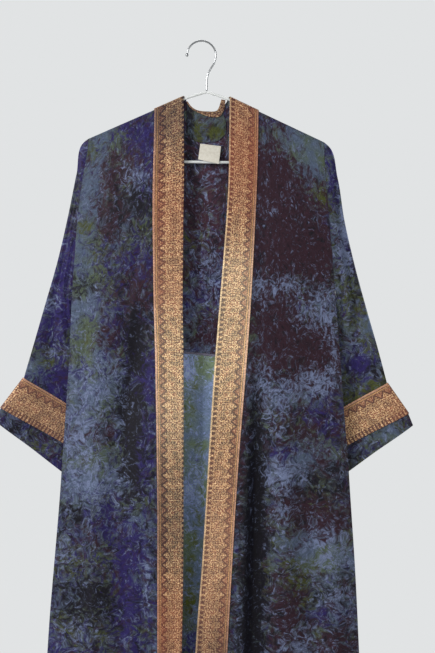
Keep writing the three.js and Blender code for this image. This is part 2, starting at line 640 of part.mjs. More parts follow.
for (const letter of ['R', 'L']) {
  const side = letter === 'R' ? 'r' : 'l';
  const grid = sleeveGrid(letter);
  const outward = letter === 'R' ? 1 : -1;
  const directions = wallDirections(grid, true, sleevePin);
  const finish = letter === 'R' ? DYED_SILK : PLUM_SILK;
  const seam = grid[CUFF_TOP_CUT];
  const aboveSeam = [...grid.slice(0, CUFF_TOP_CUT), movedOffSeam(seam, grid[CUFF_TOP_CUT - 1])];
  const belowSeam = [movedOffSeam(seam, grid[CUFF_TOP_CUT + 1]), ...grid.slice(CUFF_TOP_CUT + 1)];
  const above = directions.slice(0, CUFF_TOP_CUT + 1);
  const below = directions.slice(CUFF_TOP_CUT);
  for (const [face, name] of [[-1, 'front'], [1, 'back']]) {
    const half = sleeveHalf(aboveSeam, face);
    half.flat().forEach((p) => {
      p.y += face * FOLD_GAP / 2;
    });
    addPiece(`sleeve_${name}_${side}`, wall(half, CLOTH, { shared: sleeveHalf(above, face) }), finish);
  }
  addPiece(`sleeve_hem_${side}`, wall(belowSeam, CLOTH, { ring: true, shared: below }), finish);
  const lifted = movedOut(grid, outward * LAYER_STEP, sleevePin, true);
  const cuff = lifted.slice(CUFF_TOP_CUT, CUFF_END_CUT + 1);
  addPiece(`cuff_band_${side}`, wall(cuff, CLOTH, { ring: true }), BROCADE);
}

// ---- hanger ----
const ROD_SIDES = 8;
const HOOK_STEPS = 44;
const ARM_STEPS = 26;
const BAR_STEPS = 2;
const BALL_SIDES = 10;
const BALL_RINGS = 7;

/** Round rod along a smooth path of [x, drop] places in the hanger's plane. */
function rod(places, radius, steps) {
  const path = new THREE.CatmullRomCurve3(places.map(([x, drop]) => point(x, 0, drop)), false, 'centripetal');
  const section = new THREE.Shape();
  for (let k = 0; k < ROD_SIDES; k += 1) {
    const turn = 2 * Math.PI * k / ROD_SIDES;
    const corner = [radius * Math.cos(turn), radius * Math.sin(turn)];
    if (k === 0) section.moveTo(...corner);
    else section.lineTo(...corner);
  }
  section.closePath();
  return new THREE.ExtrudeGeometry(section, { extrudePath: path, steps, curveSegments: 1 });
}

/** The hook's wire: an arc from its tip over the top, then in to the stem. */
function hookPlaces() {
  const places = [];
  const arcSteps = 8;
  const middleDrop = HOOK_BEND - HOOK_WIRE;
  for (let k = 0; k <= arcSteps; k += 1) {
    const turn = Math.PI * (1 - k / arcSteps);
    places.push([-GARMENT_X + HOOK_BEND * Math.cos(turn), middleDrop - HOOK_BEND * Math.sin(turn)]);
  }
  return [...places, [12.5, 36], [5.5, 48], [0.8, 60], [0, 72], [0, STEM_END_DROP]];
}

/** Half of the hanger's frame: along the shoulder and round the end down to the bar. */
function armPlaces(sign) {
  const shoulder = [NECK_HALF, 75, 110, 150, 184].map((x) => [x, wireDrop(x)]);
  const neck = [12, 20, 28, 35].map((x) => [x, wireDrop(x)]);
  const apex = [[SEAM_GAP / 2, HANGER_APEX_DROP], [3, HANGER_APEX_DROP]];
  const end = [[193, 171], [197.6, 178], [199, 187], [198.8, 198], [197, 205],
    [193, BAR_DROP], [BAR_HALF + SEAM_GAP, BAR_DROP]];
  return [...apex, ...neck, ...shoulder, ...end].map(([x, drop]) => [sign * x, drop]);
}

const wasm = await Module();
wasm.setup();

function toManifold(geometry) {
  const bare = geometry.clone();
  bare.deleteAttribute('normal');
  bare.deleteAttribute('uv');
  const merged = mergeVertices(bare, 1e-4);
  return new wasm.Manifold(new wasm.Mesh({
    numProp: 3,
    vertProperties: new Float32Array(merged.getAttribute('position').array),
    triVerts: new Uint32Array(merged.getIndex().array),
  }));
}

function joined(first, second) {
  const mesh = toManifold(first).add(toManifold(second)).getMesh();
  const geometry = new THREE.BufferGeometry();
  geometry.setAttribute('position', new THREE.Float32BufferAttribute(mesh.vertProperties, 3));
  geometry.setIndex(Array.from(mesh.triVerts));
  geometry.computeVertexNormals();
  return geometry;
}

const tipBall = new THREE.SphereGeometry(HOOK_TIP_BALL, BALL_SIDES, BALL_RINGS);
tipBall.translate(-GARMENT_X - HOOK_BEND, 0, -(HOOK_BEND - HOOK_WIRE));
addPiece('hook', joined(rod(hookPlaces(), HOOK_WIRE, HOOK_STEPS), tipBall), CHROMED_STEEL);
addPiece('hanger_arm_r', rod(armPlaces(-1), ARM_RADIUS, ARM_STEPS), WHITE_LACQUER);
addPiece('hanger_arm_l', rod(armPlaces(1), ARM_RADIUS, ARM_STEPS), WHITE_LACQUER);
const barPlaces = [-BAR_HALF, 0, BAR_HALF].map((x) => [x, BAR_DROP]);
addPiece('hanger_bar', rod(barPlaces, BAR_RADIUS, BAR_STEPS), WHITE_LACQUER);

export default robe;
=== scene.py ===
"""Open-front kimono robe of ice-dyed silk with zari brocade bands, hung on a plain wire hanger.

Sizes are millimetres in the garment's own frame. x runs from the garment's centre to the wearer's left,
y to the wearer's back, and a drop runs down from the inside top of the hook. R and L are the wearer's
right and left. Blender gets metres, with the garment's centre GARMENT_X beside the origin.
"""
import logging
import math
from dataclasses import dataclass
from enum import Enum
from typing import Any, NamedTuple, Sequence

import bpy
import numpy as np
from bpy.types import Material, Mesh, NodeSocket, NodeTree, Object
from mathutils import Matrix, Vector


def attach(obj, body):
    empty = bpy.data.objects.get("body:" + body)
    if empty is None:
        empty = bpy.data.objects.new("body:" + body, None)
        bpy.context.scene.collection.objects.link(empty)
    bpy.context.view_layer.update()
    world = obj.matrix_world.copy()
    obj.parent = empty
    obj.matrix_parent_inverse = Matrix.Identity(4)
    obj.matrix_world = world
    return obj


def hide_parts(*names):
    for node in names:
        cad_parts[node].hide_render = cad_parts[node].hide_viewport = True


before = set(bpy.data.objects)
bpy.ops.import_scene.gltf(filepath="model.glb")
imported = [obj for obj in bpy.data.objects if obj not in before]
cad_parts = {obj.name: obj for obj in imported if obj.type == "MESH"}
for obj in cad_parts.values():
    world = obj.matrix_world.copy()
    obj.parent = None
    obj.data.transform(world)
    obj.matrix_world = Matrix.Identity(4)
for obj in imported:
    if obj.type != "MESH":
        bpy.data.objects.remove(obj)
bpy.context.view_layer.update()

log = logging.getLogger("robe")
Array = np.ndarray

MM = 0.001
BODY = "root"
GARMENT_X = 10.0
SEAM_GAP = 0.3
CLOTH = 1.2
ARM_RADIUS = 2.2
WRAP = ARM_RADIUS + SEAM_GAP + CLOTH / 2
LAYER_STEP = CLOTH + SEAM_GAP
SILK = 0.5
BROCADE = 1.0
SHARP_ANGLE = math.radians(50)


class Side(Enum):
    """The wearer's side, with the sign of x there."""

    R = -1
    L = 1


class Face(Enum):
    """A face of the body, with the sign of y there."""

    FRONT = -1
    BACK = 1


class Slot(Enum):
    """The record's material slots."""

    SILK = "dyed_silk"
    BROCADE = "brocade"
    FACING = "facing_silk"
    LABEL = "label_satin"
    CHROME = "chromed_steel"
    LACQUER = "white_lacquer"


class Dye(Enum):
    """Dyes of the silk; some DARK patches also paint shade and some CLEAR patches paint light, as marked
    where they are listed. The value is the dye's place in a vertex's list of strengths.
    """

    VIOLET = 0
    PLUM = 1
    OLIVE = 2
    DARK = 3
    PALE = 4
    CLEAR = 5


# ---- tables of the cut
class FrontEdge(NamedTuple):
    """Edges of the fronts at a drop: side edges and both edges of each front band."""

    drop: float
    side_r: float
    outer_r: float
    inner_r: float
    inner_l: float
    outer_l: float
    side_l: float


class BodyDepth(NamedTuple):
    """How far the middle of the front and of the back stand from the hanger's plane."""

    drop: float
    front: float
    back: float


class NeckPlace(NamedTuple):
    """Top edge of the back at a distance from the centre."""

    across: float
    drop: float


class Fold(NamedTuple):
    """A hanging fold from (x0, top) to (x1, bottom). A positive depth goes in towards the wearer."""

    x0: float
    x1: float
    top: float
    full: float
    bottom: float
    bow: float
    width: float
    depth: float


class Crease(NamedTuple):
    """A soft trough, or a ridge where its depth is negative, that fades out at both ends."""

    x0: float
    drop0: float
    x1: float
    drop1: float
    bow: float
    width: float
    depth: float


class SleeveCut(NamedTuple):
    """A cut across a sleeve between its outer and inner fold; half is half the hollow."""

    out: float
    out_drop: float
    inner: float
    in_drop: float
    out_y: float
    in_y: float
    half: float
    lean: float
    in_lean: float


class SleeveCrease(NamedTuple):
    """A trough along a sleeve. around is the share of a cut from the outer fold, and t counts cuts."""

    around0: float
    around1: float
    t0: float
    t1: float
    width: float
    depth: float


class NeckCut(NamedTuple):
    """A cut across half of the neck band, from the neckline to the band's lower edge."""

    top_x: float
    low_x: float
    low_drop: float


class Blot(NamedTuple):
    """A patch of dye: its middle, half sizes and strength."""

    x: float
    drop: float
    wide: float
    tall: float
    strength: float


Blots = dict[Dye, tuple[Blot, ...]]

FRONT_EDGES = (
    FrontEdge(97, -204, -90, -40, 40, 90, 204),
    FrontEdge(180, -204, -90, -38, 40, 90, 205),
    FrontEdge(240, -213, -90.5, -37, 40, 89, 208.5),
    FrontEdge(300, -219.5, -90, -37, 37.5, 87, 214.5),
    FrontEdge(380, -225, -88, -36.5, 32.5, 84, 222.5),
    FrontEdge(460, -229.5, -85.5, -36, 27, 80.5, 230),
    FrontEdge(540, -231.5, -82, -33.5, 21.5, 76, 237.5),
    FrontEdge(620, -235.5, -79.5, -32, 17, 71, 244),
    FrontEdge(700, -240, -77, -31, 13, 65.5, 252),
    FrontEdge(800, -245.5, -74.5, -29.5, 8.5, 60, 260),
    FrontEdge(900, -252.5, -73, -28.5, 3.5, 55.5, 268),
    FrontEdge(1000, -259.5, -71.5, -28.5, -3, 51, 274.5),
    FrontEdge(1100, -264.5, -70, -29, -8, 47, 280),
    FrontEdge(1296, -273, -68, -28, -15, 40, 290),
)
BODY_DEPTHS = (
    BodyDepth(97, 4, 4),
    BodyDepth(200, 10, 8),
    BodyDepth(320, 16, 12),
    BodyDepth(500, 20, 15),
    BodyDepth(800, 26, 18),
    BodyDepth(1296, 32, 26),
)
BACK_NECKLINE = (
    NeckPlace(0, 121),
    NeckPlace(9, 120.5),
    NeckPlace(19, 118),
    NeckPlace(28, 111.5),
    NeckPlace(35.5, 102.5),
)
FRONT_FOLDS = {
    Side.R: (
        Fold(-94, -98, 390, 640, 1296, -52, 34, 15),
        Fold(-97, -100, 880, 1060, 1296, 0, 12, 7),
        Fold(-165, -176, 420, 900, 1296, -8, 30, -9),
        Fold(-200, -222, 560, 1000, 1296, 4, 20, 7),
    ),
    Side.L: (
        Fold(82, 68, 360, 620, 1296, 0, 11, -6),
        Fold(98, 92, 520, 800, 1296, 6, 21, 20),
        Fold(140, 136, 560, 900, 1296, 5, 30, -8),
        Fold(176, 196, 330, 760, 1296, 6, 26, 8),
        Fold(222, 240, 640, 1000, 1296, 0, 24, -6),
    ),
}
BACK_FOLDS = (
    Fold(-150, -186, 560, 1000, 1296, -6, 34, 9),
    Fold(-92, -104, 300, 900, 1296, 8, 36, -10),
    Fold(-30, -36, 420, 960, 1296, -6, 30, 8),
    Fold(34, 40, 360, 900, 1296, 5, 34, -10),
    Fold(104, 122, 460, 1000, 1296, 7, 34, 9),
    Fold(176, 206, 600, 1040, 1296, 0, 30, -8),
)
CREASES = {
    Face.FRONT: (
        Crease(-96, 300, -142, 560, -8, 9, 3.2),
        Crease(-122, 340, -150, 640, 6, 11, -2.4),
        Crease(-198, 196, -176, 330, 5, 8, 1.6),
        Crease(-186, 190, -150, 280, -4, 9, -1.2),
        Crease(-210, 380, -214, 760, 4, 8, 1.8),
        Crease(-188, 640, -200, 1010, -6, 12, 2.4),
        Crease(-140, 700, -152, 1060, 7, 10, -2.6),
        Crease(-98, 760, -103, 1290, 3, 6, 3.4),
        Crease(-118, 900, -124, 1290, -4, 8, -2.2),
        Crease(-236, 760, -250, 1200, 3, 10, 1.8),
        Crease(-170, 980, -182, 1290, 5, 9, 2.2),
        Crease(104, 300, 100, 520, -4, 8, 2.2),
        Crease(92, 560, 84, 1290, 3, 6, 2.6),
        Crease(118, 600, 112, 1180, -3, 8, -3.0),
        Crease(158, 640, 164, 1000, 6, 9, 2.4),
        Crease(134, 820, 130, 1290, -5, 9, -2.0),
        Crease(190, 210, 166, 330, -5, 8, 1.5),
        Crease(206, 260, 210, 520, -4, 8, 1.6),
        Crease(214, 560, 226, 900, 4, 9, 2.0),
        Crease(186, 860, 196, 1290, -6, 12, -2.4),
        Crease(250, 820, 264, 1290, 2, 9, 1.8),
    ),
    Face.BACK: (
        Crease(-188, 200, -150, 380, 6, 10, 1.8),
        Crease(-60, 180, -52, 470, -5, 12, 1.6),
        Crease(58, 190, 64, 500, 6, 13, 1.8),
        Crease(186, 210, 152, 400, -6, 10, 1.7),
        Crease(-124, 560, -138, 1160, -7, 10, 2.6),
        Crease(-64, 640, -70, 1290, 5, 11, -2.4),
        Crease(4, 580, 8, 1240, -4, 9, 2.0),
        Crease(76, 600, 84, 1290, 5, 10, 2.4),
        Crease(146, 660, 166, 1290, -5, 11, -2.6),
        Crease(-206, 700, -226, 1290, 3, 10, 1.8),
        Crease(216, 720, 240, 1260, 4, 10, 2.0),
    ),
}
SLEEVE_CUTS = (
    SleeveCut(212, 177.5, 228, 430.5, 0, 0.3, 5.5, 0, 0),
    SleeveCut(224, 232, 228.4, 437, 2, 0.8, 5, 5, 0),
    SleeveCut(238, 305, 228.8, 446, 4, 2, 5, 4, 0.2),
    SleeveCut(256, 386, 229.4, 463, 6, 6, 5.5, 6, 0.7),
    SleeveCut(277, 462, 216, 508, 8, 14, 6, 7, 4),
    SleeveCut(296, 531, 165, 590, 9, 22, 6.5, 9, 5.4),
    SleeveCut(312, 588, 120, 703, 10, 27, 7, 9, 5.4),
    SleeveCut(351, 641, 152, 752, 10, 28, 9, 8, 4.8),
    SleeveCut(364.5, 661, 184, 798, 10, 28, 10, 3, 1.8),
)
SLEEVE_CREASES = (
    SleeveCrease(0.34, 0.30, 1.2, 6.4, 0.055, 1.8),
    SleeveCrease(0.46, 0.52, 2.0, 6.8, 0.060, -1.5),
    SleeveCrease(0.10, 0.08, 2.4, 6.6, 0.040, 1.2),
    SleeveCrease(0.66, 0.72, 1.5, 6.6, 0.060, 1.6),
    SleeveCrease(0.84, 0.80, 2.8, 6.9, 0.050, -1.4),
)
NECK_CUTS = (
    NeckCut(40, 90, 0),
    NeckCut(37.75, 90, 0),
    NeckCut(35.5, 90, 0),
    NeckCut(33, 89, 138),
    NeckCut(28, 80, 153),
    NeckCut(21, 60, 165),
    NeckCut(11, 31, 171),
    NeckCut(0, 0, 173),
)

# ---- dye patches
FRONT_R_BLOTS: Blots = {
    Dye.VIOLET: (
        Blot(-115, 160, 32, 26, 0.6), Blot(-100, 216, 22, 48, 0.6), Blot(-110, 394, 26, 30, 0.7),
        Blot(-138, 498, 30, 36, 0.5), Blot(-203, 578, 18, 18, 0.4), Blot(-116, 590, 20, 66, 0.7),
        Blot(-95, 580, 10, 26, 0.5), Blot(-104, 706, 18, 62, 0.7), Blot(-164, 822, 26, 32, 0.6),
        Blot(-120, 884, 26, 32, 0.6), Blot(-124, 962, 22, 58, 0.7), Blot(-252, 1056, 20, 22, 0.5),
        Blot(-112, 1120, 20, 52, 0.6), Blot(-206, 1226, 30, 30, 0.5),
    ),
    Dye.PLUM: (
        Blot(-150, 212, 34, 26, 0.6), Blot(-155, 268, 32, 38, 0.5), Blot(-163, 300, 24, 22, 0.6),
        Blot(-163, 337, 14, 12, 0.6), Blot(-118, 440, 26, 44, 0.8), Blot(-169, 513, 20, 16, 0.6),
        Blot(-142, 554, 14, 16, 0.6), Blot(-174, 680, 26, 18, 0.5), Blot(-206, 848, 16, 12, 0.6),
        Blot(-190, 1110, 32, 26, 0.5),
    ),
    Dye.OLIVE: (
        Blot(-198, 190, 20, 20, 0.5), Blot(-208, 325, 16, 14, 0.6), Blot(-103, 315, 12, 22, 0.4),
        Blot(-170, 377, 34, 24, 0.4), Blot(-155, 452, 14, 14, 0.5), Blot(-198, 524, 13, 15, 0.7),
        Blot(-150, 696, 16, 18, 0.5), Blot(-200, 812, 24, 16, 0.4), Blot(-224, 916, 26, 20, 0.5),
        Blot(-150, 950, 18, 28, 0.5), Blot(-218, 1018, 30, 26, 0.6), Blot(-150, 1040, 26, 22, 0.4),
        Blot(-160, 1190, 30, 28, 0.4),
    ),
    Dye.DARK: (
        Blot(-118, 272, 26, 20, 0.5), Blot(-126, 306, 34, 32, 0.4), Blot(-210, 432, 16, 15, 0.8),
        # dark dye that also paints shade: the patches at x -116 to -128, from drop 510 to 750, follow the
        # valley of the fold beside the band
        Blot(-116, 510, 16, 44, 0.8), Blot(-122, 610, 16, 90, 0.9), Blot(-128, 636, 22, 16, 0.6),
        Blot(-120, 750, 15, 60, 0.8), Blot(-218, 822, 20, 18, 0.6), Blot(-190, 972, 38, 30, 0.8),
        Blot(-110, 1240, 24, 30, 0.5),
    ),
    Dye.PALE: (
        Blot(-122, 240, 20, 20, 0.5), Blot(-184, 604, 44, 48, 0.5), Blot(-218, 690, 20, 34, 0.5),
        Blot(-188, 762, 44, 40, 0.5), Blot(-240, 894, 15, 28, 0.5), Blot(-92, 932, 7, 32, 0.5),
        Blot(-216, 1024, 26, 22, 0.4), Blot(-236, 1150, 24, 40, 0.4),
    ),
    Dye.CLEAR: (
        Blot(-178, 166, 26, 16, 0.5), Blot(-196, 236, 20, 44, 0.6), Blot(-212, 353, 20, 54, 0.6),
        Blot(-206, 484, 20, 50, 0.7), Blot(-190, 600, 44, 50, 0.5), Blot(-192, 756, 40, 44, 0.6),
        Blot(-112, 834, 12, 26, 0.5),
    ),
}
FRONT_L_BLOTS: Blots = {
    Dye.VIOLET: (
        Blot(108, 136, 22, 12, 0.4), Blot(160, 270, 26, 16, 0.5), Blot(208, 334, 16, 26, 0.7),
        Blot(157, 466, 16, 16, 0.5), Blot(205, 634, 30, 24, 0.6), Blot(222, 670, 20, 20, 0.7),
        Blot(135, 706, 26, 13, 0.6), Blot(222, 922, 9, 9, 0.7), Blot(226, 990, 30, 13, 0.6),
        Blot(150, 1110, 32, 30, 0.5),
    ),
    Dye.PLUM: (
        Blot(112, 202, 32, 34, 0.6), Blot(115, 244, 42, 40, 0.7), Blot(135, 322, 56, 56, 0.9),
        Blot(146, 366, 50, 30, 0.8), Blot(204, 380, 18, 30, 0.5), Blot(119, 448, 30, 24, 0.7),
        Blot(132, 492, 38, 26, 0.7), Blot(134, 540, 46, 30, 0.8), Blot(204, 540, 38, 34, 0.8),
        Blot(172, 588, 15, 12, 0.5), Blot(170, 668, 22, 22, 0.5), Blot(214, 722, 13, 11, 0.6),
        Blot(172, 802, 24, 20, 0.7), Blot(224, 834, 38, 24, 0.8), Blot(150, 992, 20, 38, 0.7),
        Blot(66, 700, 9, 70, 0.6), Blot(236, 1050, 26, 24, 0.5), Blot(246, 1190, 26, 34, 0.6),
        Blot(100, 1220, 30, 30, 0.6),
    ),
    Dye.OLIVE: (
        Blot(112, 156, 26, 18, 0.3), Blot(152, 236, 32, 14, 0.5), Blot(204, 268, 14, 16, 1.0),
        Blot(208, 798, 26, 20, 0.5), Blot(150, 842, 20, 20, 0.4), Blot(163, 904, 30, 25, 0.8),
        Blot(168, 956, 20, 22, 0.8), Blot(160, 1200, 30, 32, 0.5),
    ),
    Dye.DARK: (
        # painted shade: the three tall patches at x 90 to 94 darken the deep valley of the fold beside the
        # band
        Blot(208, 760, 26, 20, 0.5), Blot(214, 940, 34, 20, 0.4), Blot(94, 730, 13, 80, 1.0),
        Blot(92, 880, 15, 80, 1.0), Blot(90, 1040, 18, 80, 1.0),
    ),
    Dye.PALE: (
        Blot(112, 290, 10, 10, 0.4), Blot(137, 420, 26, 15, 0.6), Blot(186, 466, 26, 24, 0.5),
        Blot(208, 438, 14, 15, 0.4), Blot(218, 494, 13, 22, 0.4), Blot(93, 428, 12, 16, 0.5),
        Blot(226, 546, 8, 20, 0.5), Blot(100, 578, 15, 30, 0.5), Blot(201, 586, 26, 18, 0.7),
        Blot(150, 602, 30, 18, 0.5), Blot(128, 646, 16, 26, 0.4), Blot(142, 742, 26, 18, 0.8),
        Blot(140, 806, 15, 30, 0.4), Blot(218, 880, 42, 34, 0.6), Blot(240, 962, 25, 25, 0.5),
        Blot(174, 1036, 26, 20, 0.6), Blot(200, 1250, 34, 26, 0.5),
    ),
    Dye.CLEAR: (
        Blot(164, 180, 46, 24, 0.8), Blot(186, 204, 30, 26, 0.8), Blot(94, 512, 11, 20, 0.6),
        Blot(163, 618, 20, 10, 0.5), Blot(182, 716, 28, 20, 0.5), Blot(214, 878, 44, 34, 0.8),
        Blot(212, 1130, 36, 26, 0.6),
    ),
}
BACK_BLOTS: Blots = {
    Dye.VIOLET: (
        Blot(2, 440, 30, 46, 0.4), Blot(-6, 708, 14, 22, 0.5), Blot(-12, 730, 13, 16, 0.5),
        Blot(-14, 1050, 12, 20, 0.6), Blot(-150, 250, 44, 40, 0.5), Blot(96, 400, 36, 34, 0.5),
        Blot(-110, 640, 44, 46, 0.6), Blot(160, 800, 40, 44, 0.6), Blot(-190, 1090, 40, 40, 0.6),
        Blot(60, 1060, 36, 36, 0.5),
    ),
    Dye.PLUM: (
        Blot(0, 250, 60, 80, 0.5), Blot(12, 510, 30, 28, 0.7), Blot(-60, 1130, 34, 40, 0.5),
        Blot(-120, 360, 40, 44, 0.6), Blot(130, 240, 46, 36, 0.6), Blot(-190, 640, 34, 50, 0.5),
        Blot(110, 620, 40, 50, 0.6), Blot(-96, 860, 36, 40, 0.6), Blot(200, 960, 40, 44, 0.6),
        Blot(90, 1230, 40, 34, 0.5), Blot(-210, 1240, 34, 34, 0.5),
    ),
    Dye.OLIVE: (
        Blot(-28, 346, 13, 22, 0.6), Blot(-14, 614, 11, 22, 0.7), Blot(-24, 668, 11, 24, 0.6),
        Blot(-8, 832, 9, 26, 0.7), Blot(-16, 908, 9, 32, 0.8), Blot(-20, 966, 9, 20, 0.6),
        Blot(-84, 250, 28, 30, 0.5), Blot(70, 300, 26, 30, 0.4), Blot(86, 780, 34, 40, 0.5),
        Blot(-200, 920, 34, 44, 0.5), Blot(150, 1110, 42, 38, 0.5),
    ),
    Dye.DARK: (
        Blot(4, 566, 10, 14, 0.5), Blot(-140, 980, 40, 40, 0.5),
    ),
    Dye.PALE: (
        Blot(8, 420, 22, 50, 0.35), Blot(-26, 570, 12, 30, 0.6), Blot(-10, 780, 14, 34, 0.5),
        Blot(-150, 490, 44, 36, 0.5), Blot(150, 480, 44, 34, 0.5), Blot(196, 650, 34, 44, 0.5),
        Blot(-150, 780, 46, 44, 0.6), Blot(110, 940, 42, 40, 0.5), Blot(-120, 1200, 40, 34, 0.5),
        Blot(220, 1180, 36, 40, 0.5),
    ),
    Dye.CLEAR: (
        # partly paler cloth, partly painted light: the three wide patches at x 0 lighten the lower back seen
        # between the fronts, as light shining through the sheer silk does
        Blot(-24, 470, 14, 36, 0.4), Blot(0, 600, 46, 50, 1.0), Blot(0, 700, 46, 60, 0.9),
        Blot(0, 850, 46, 100, 1.0), Blot(-180, 400, 36, 40, 0.6), Blot(170, 340, 38, 46, 0.6),
    ),
}
SLEEVE_R_BLOTS: Blots = {
    Dye.VIOLET: (
        Blot(-214, 220, 8, 40, 0.5), Blot(-236, 378, 14, 36, 0.6), Blot(-247, 420, 15, 20, 0.5),
        Blot(-246, 474, 18, 20, 0.9), Blot(-270, 520, 20, 16, 0.4), Blot(-248, 592, 22, 15, 0.9),
        Blot(-240, 640, 30, 20, 0.6), Blot(-250, 745, 26, 9, 0.7),
    ),
    Dye.OLIVE: (
        Blot(-268, 562, 16, 14, 0.7), Blot(-290, 716, 26, 9, 0.6), Blot(-240, 765, 30, 9, 0.6),
    ),
    Dye.DARK: (
        # painted shade: the first patch, at x -222, darkens the sleeve where the front's edge overlaps it
        Blot(-222, 290, 10, 30, 0.4), Blot(-300, 540, 14, 20, 0.4), Blot(-330, 676, 22, 9, 0.6),
    ),
    Dye.PALE: (
        Blot(-262, 452, 14, 14, 0.4), Blot(-250, 540, 20, 15, 0.4),
    ),
    Dye.CLEAR: (
        Blot(-294, 568, 15, 15, 0.6),
    ),
}
SLEEVE_L_BLOTS: Blots = {
    Dye.VIOLET: (
        Blot(218, 198, 9, 22, 0.7), Blot(225, 250, 8, 26, 0.7), Blot(275, 556, 22, 16, 0.9),
    ),
    Dye.OLIVE: (
        Blot(250, 440, 8, 16, 0.6), Blot(276, 432, 12, 20, 0.5), Blot(270, 478, 16, 15, 0.5),
        Blot(300, 530, 14, 18, 0.4), Blot(267, 616, 24, 9, 1.0), Blot(306, 592, 15, 9, 0.9),
    ),
    Dye.DARK: (
        Blot(278, 420, 12, 20, 0.4), Blot(300, 566, 16, 10, 0.5),
    ),
    Dye.PALE: (
        Blot(238, 300, 10, 42, 0.6), Blot(247, 384, 10, 44, 0.6), Blot(262, 530, 16, 14, 0.4),
    ),
    Dye.CLEAR: (
        Blot(290, 486, 12, 20, 0.6), Blot(330, 680, 30, 10, 0.6), Blot(260, 756, 34, 10, 0.6),
    ),
}
FACING_BLOTS: Blots = {
    Dye.PLUM: (
        Blot(12, 136, 14, 10, 0.5),
    ),
    Dye.OLIVE: (
        Blot(-14, 150, 10, 12, 0.8), Blot(18, 156, 14, 9, 0.9), Blot(-20, 124, 8, 8, 0.6),
    ),
    Dye.DARK: (
        Blot(-28, 130, 8, 30, 0.7),
    ),
    Dye.CLEAR: (
        Blot(4, 142, 34, 30, 0.4),
    ),
}


# ---- small mathematics
def mix(a: Any, b: Any, t: Any) -> Any:
    """Value at t of the way from a to b."""
    return a + (b - a) * t


def ease(low: float, high: float, value: Array) -> Array:
    """Smooth step from 0 at low to 1 at high."""
    t = np.clip((value - low) / (high - low), 0, 1)
    return t * t * (3 - 2 * t)


def hump(value: Array, middle: Any, half_width: float) -> Array:
    """Height of a soft hump, 1 at its middle."""
    return np.exp(-(((value - middle) / half_width) ** 2))


def column(rows: Sequence[Any], key: str, name: str, value: Array) -> Array:
    """Value of a named column of a table at a key, on a smooth curve through its rows.

    Args:
        rows: the table.
        key: name of the column that is looked up.
        name: name of the column that is read.
        value: the keys wanted.

    Returns:
        The column's values there, in the shape of value.
    """
    keys = np.array([getattr(row, key) for row in rows], float)
    values = np.array([getattr(row, name) for row in rows], float)
    last = len(rows) - 1
    i = np.searchsorted(keys[1:last], value, side="left")
    span = keys[i + 1] - keys[i]
    t = np.clip((value - keys[i]) / span, 0, 1)

    def slope(k: Array) -> Array:
        """Rise over the span through the rows beside row k."""
        low, high = np.maximum(0, k - 1), np.minimum(last, k + 1)
        return (values[high] - values[low]) / (keys[high] - keys[low]) * span

    rise = values[i + 1] - values[i]
    a = slope(i) - rise
    b = rise - slope(i + 1)
    return mix(values[i], values[i + 1], t) + t * (1 - t) * (a * (1 - t) + b * t)


def points(x: Array, y: Array, drop: Array) -> Array:
    """Points in the garment's frame, from places across, depths and drops."""
    return np.stack(np.broadcast_arrays(x, y, -np.asarray(drop, float)), -1)


def through(rings: Array, steps: int) -> Array:
    """Smooth rows through a stack of rows.

    Args:
        rings: rows of points, of shape (rows, columns, 3).
        steps: how many rows replace each gap.

    Returns:
        The finer stack, which passes through every given row.
    """
    span = np.diff(rings, axis=0)
    gap = np.maximum(1e-6, np.linalg.norm(span, axis=-1, keepdims=True))
    rise = span / gap
    slope = np.concatenate([rise[:1], rise[:1], rise[1:]])
    slope[1:-1] = (rise[:-1] * gap[1:] + rise[1:] * gap[:-1]) / (gap[:-1] + gap[1:])
    out = []
    for k, (p, q) in enumerate(zip(rings[:-1], rings[1:])):
        slope_p, slope_q = slope[k] * gap[k], slope[k + 1] * gap[k]
        for step in range(steps):
            t = step / steps
            out.append(
                (2 * t**3 - 3 * t**2 + 1) * p + (t**3 - 2 * t**2 + t) * slope_p
                + (3 * t**2 - 2 * t**3) * q + (t**3 - t**2) * slope_q
            )
    out.append(rings[-1])
    return np.array(out)


def lengths(grid: Array, axis: int) -> Array:
    """Distance along a grid from its first row (axis 0) or first column (axis 1)."""
    step = np.linalg.norm(np.diff(grid, axis=axis), axis=-1)
    return np.concatenate([np.zeros_like(np.take(step, [0], axis)), np.cumsum(step, axis)], axis)


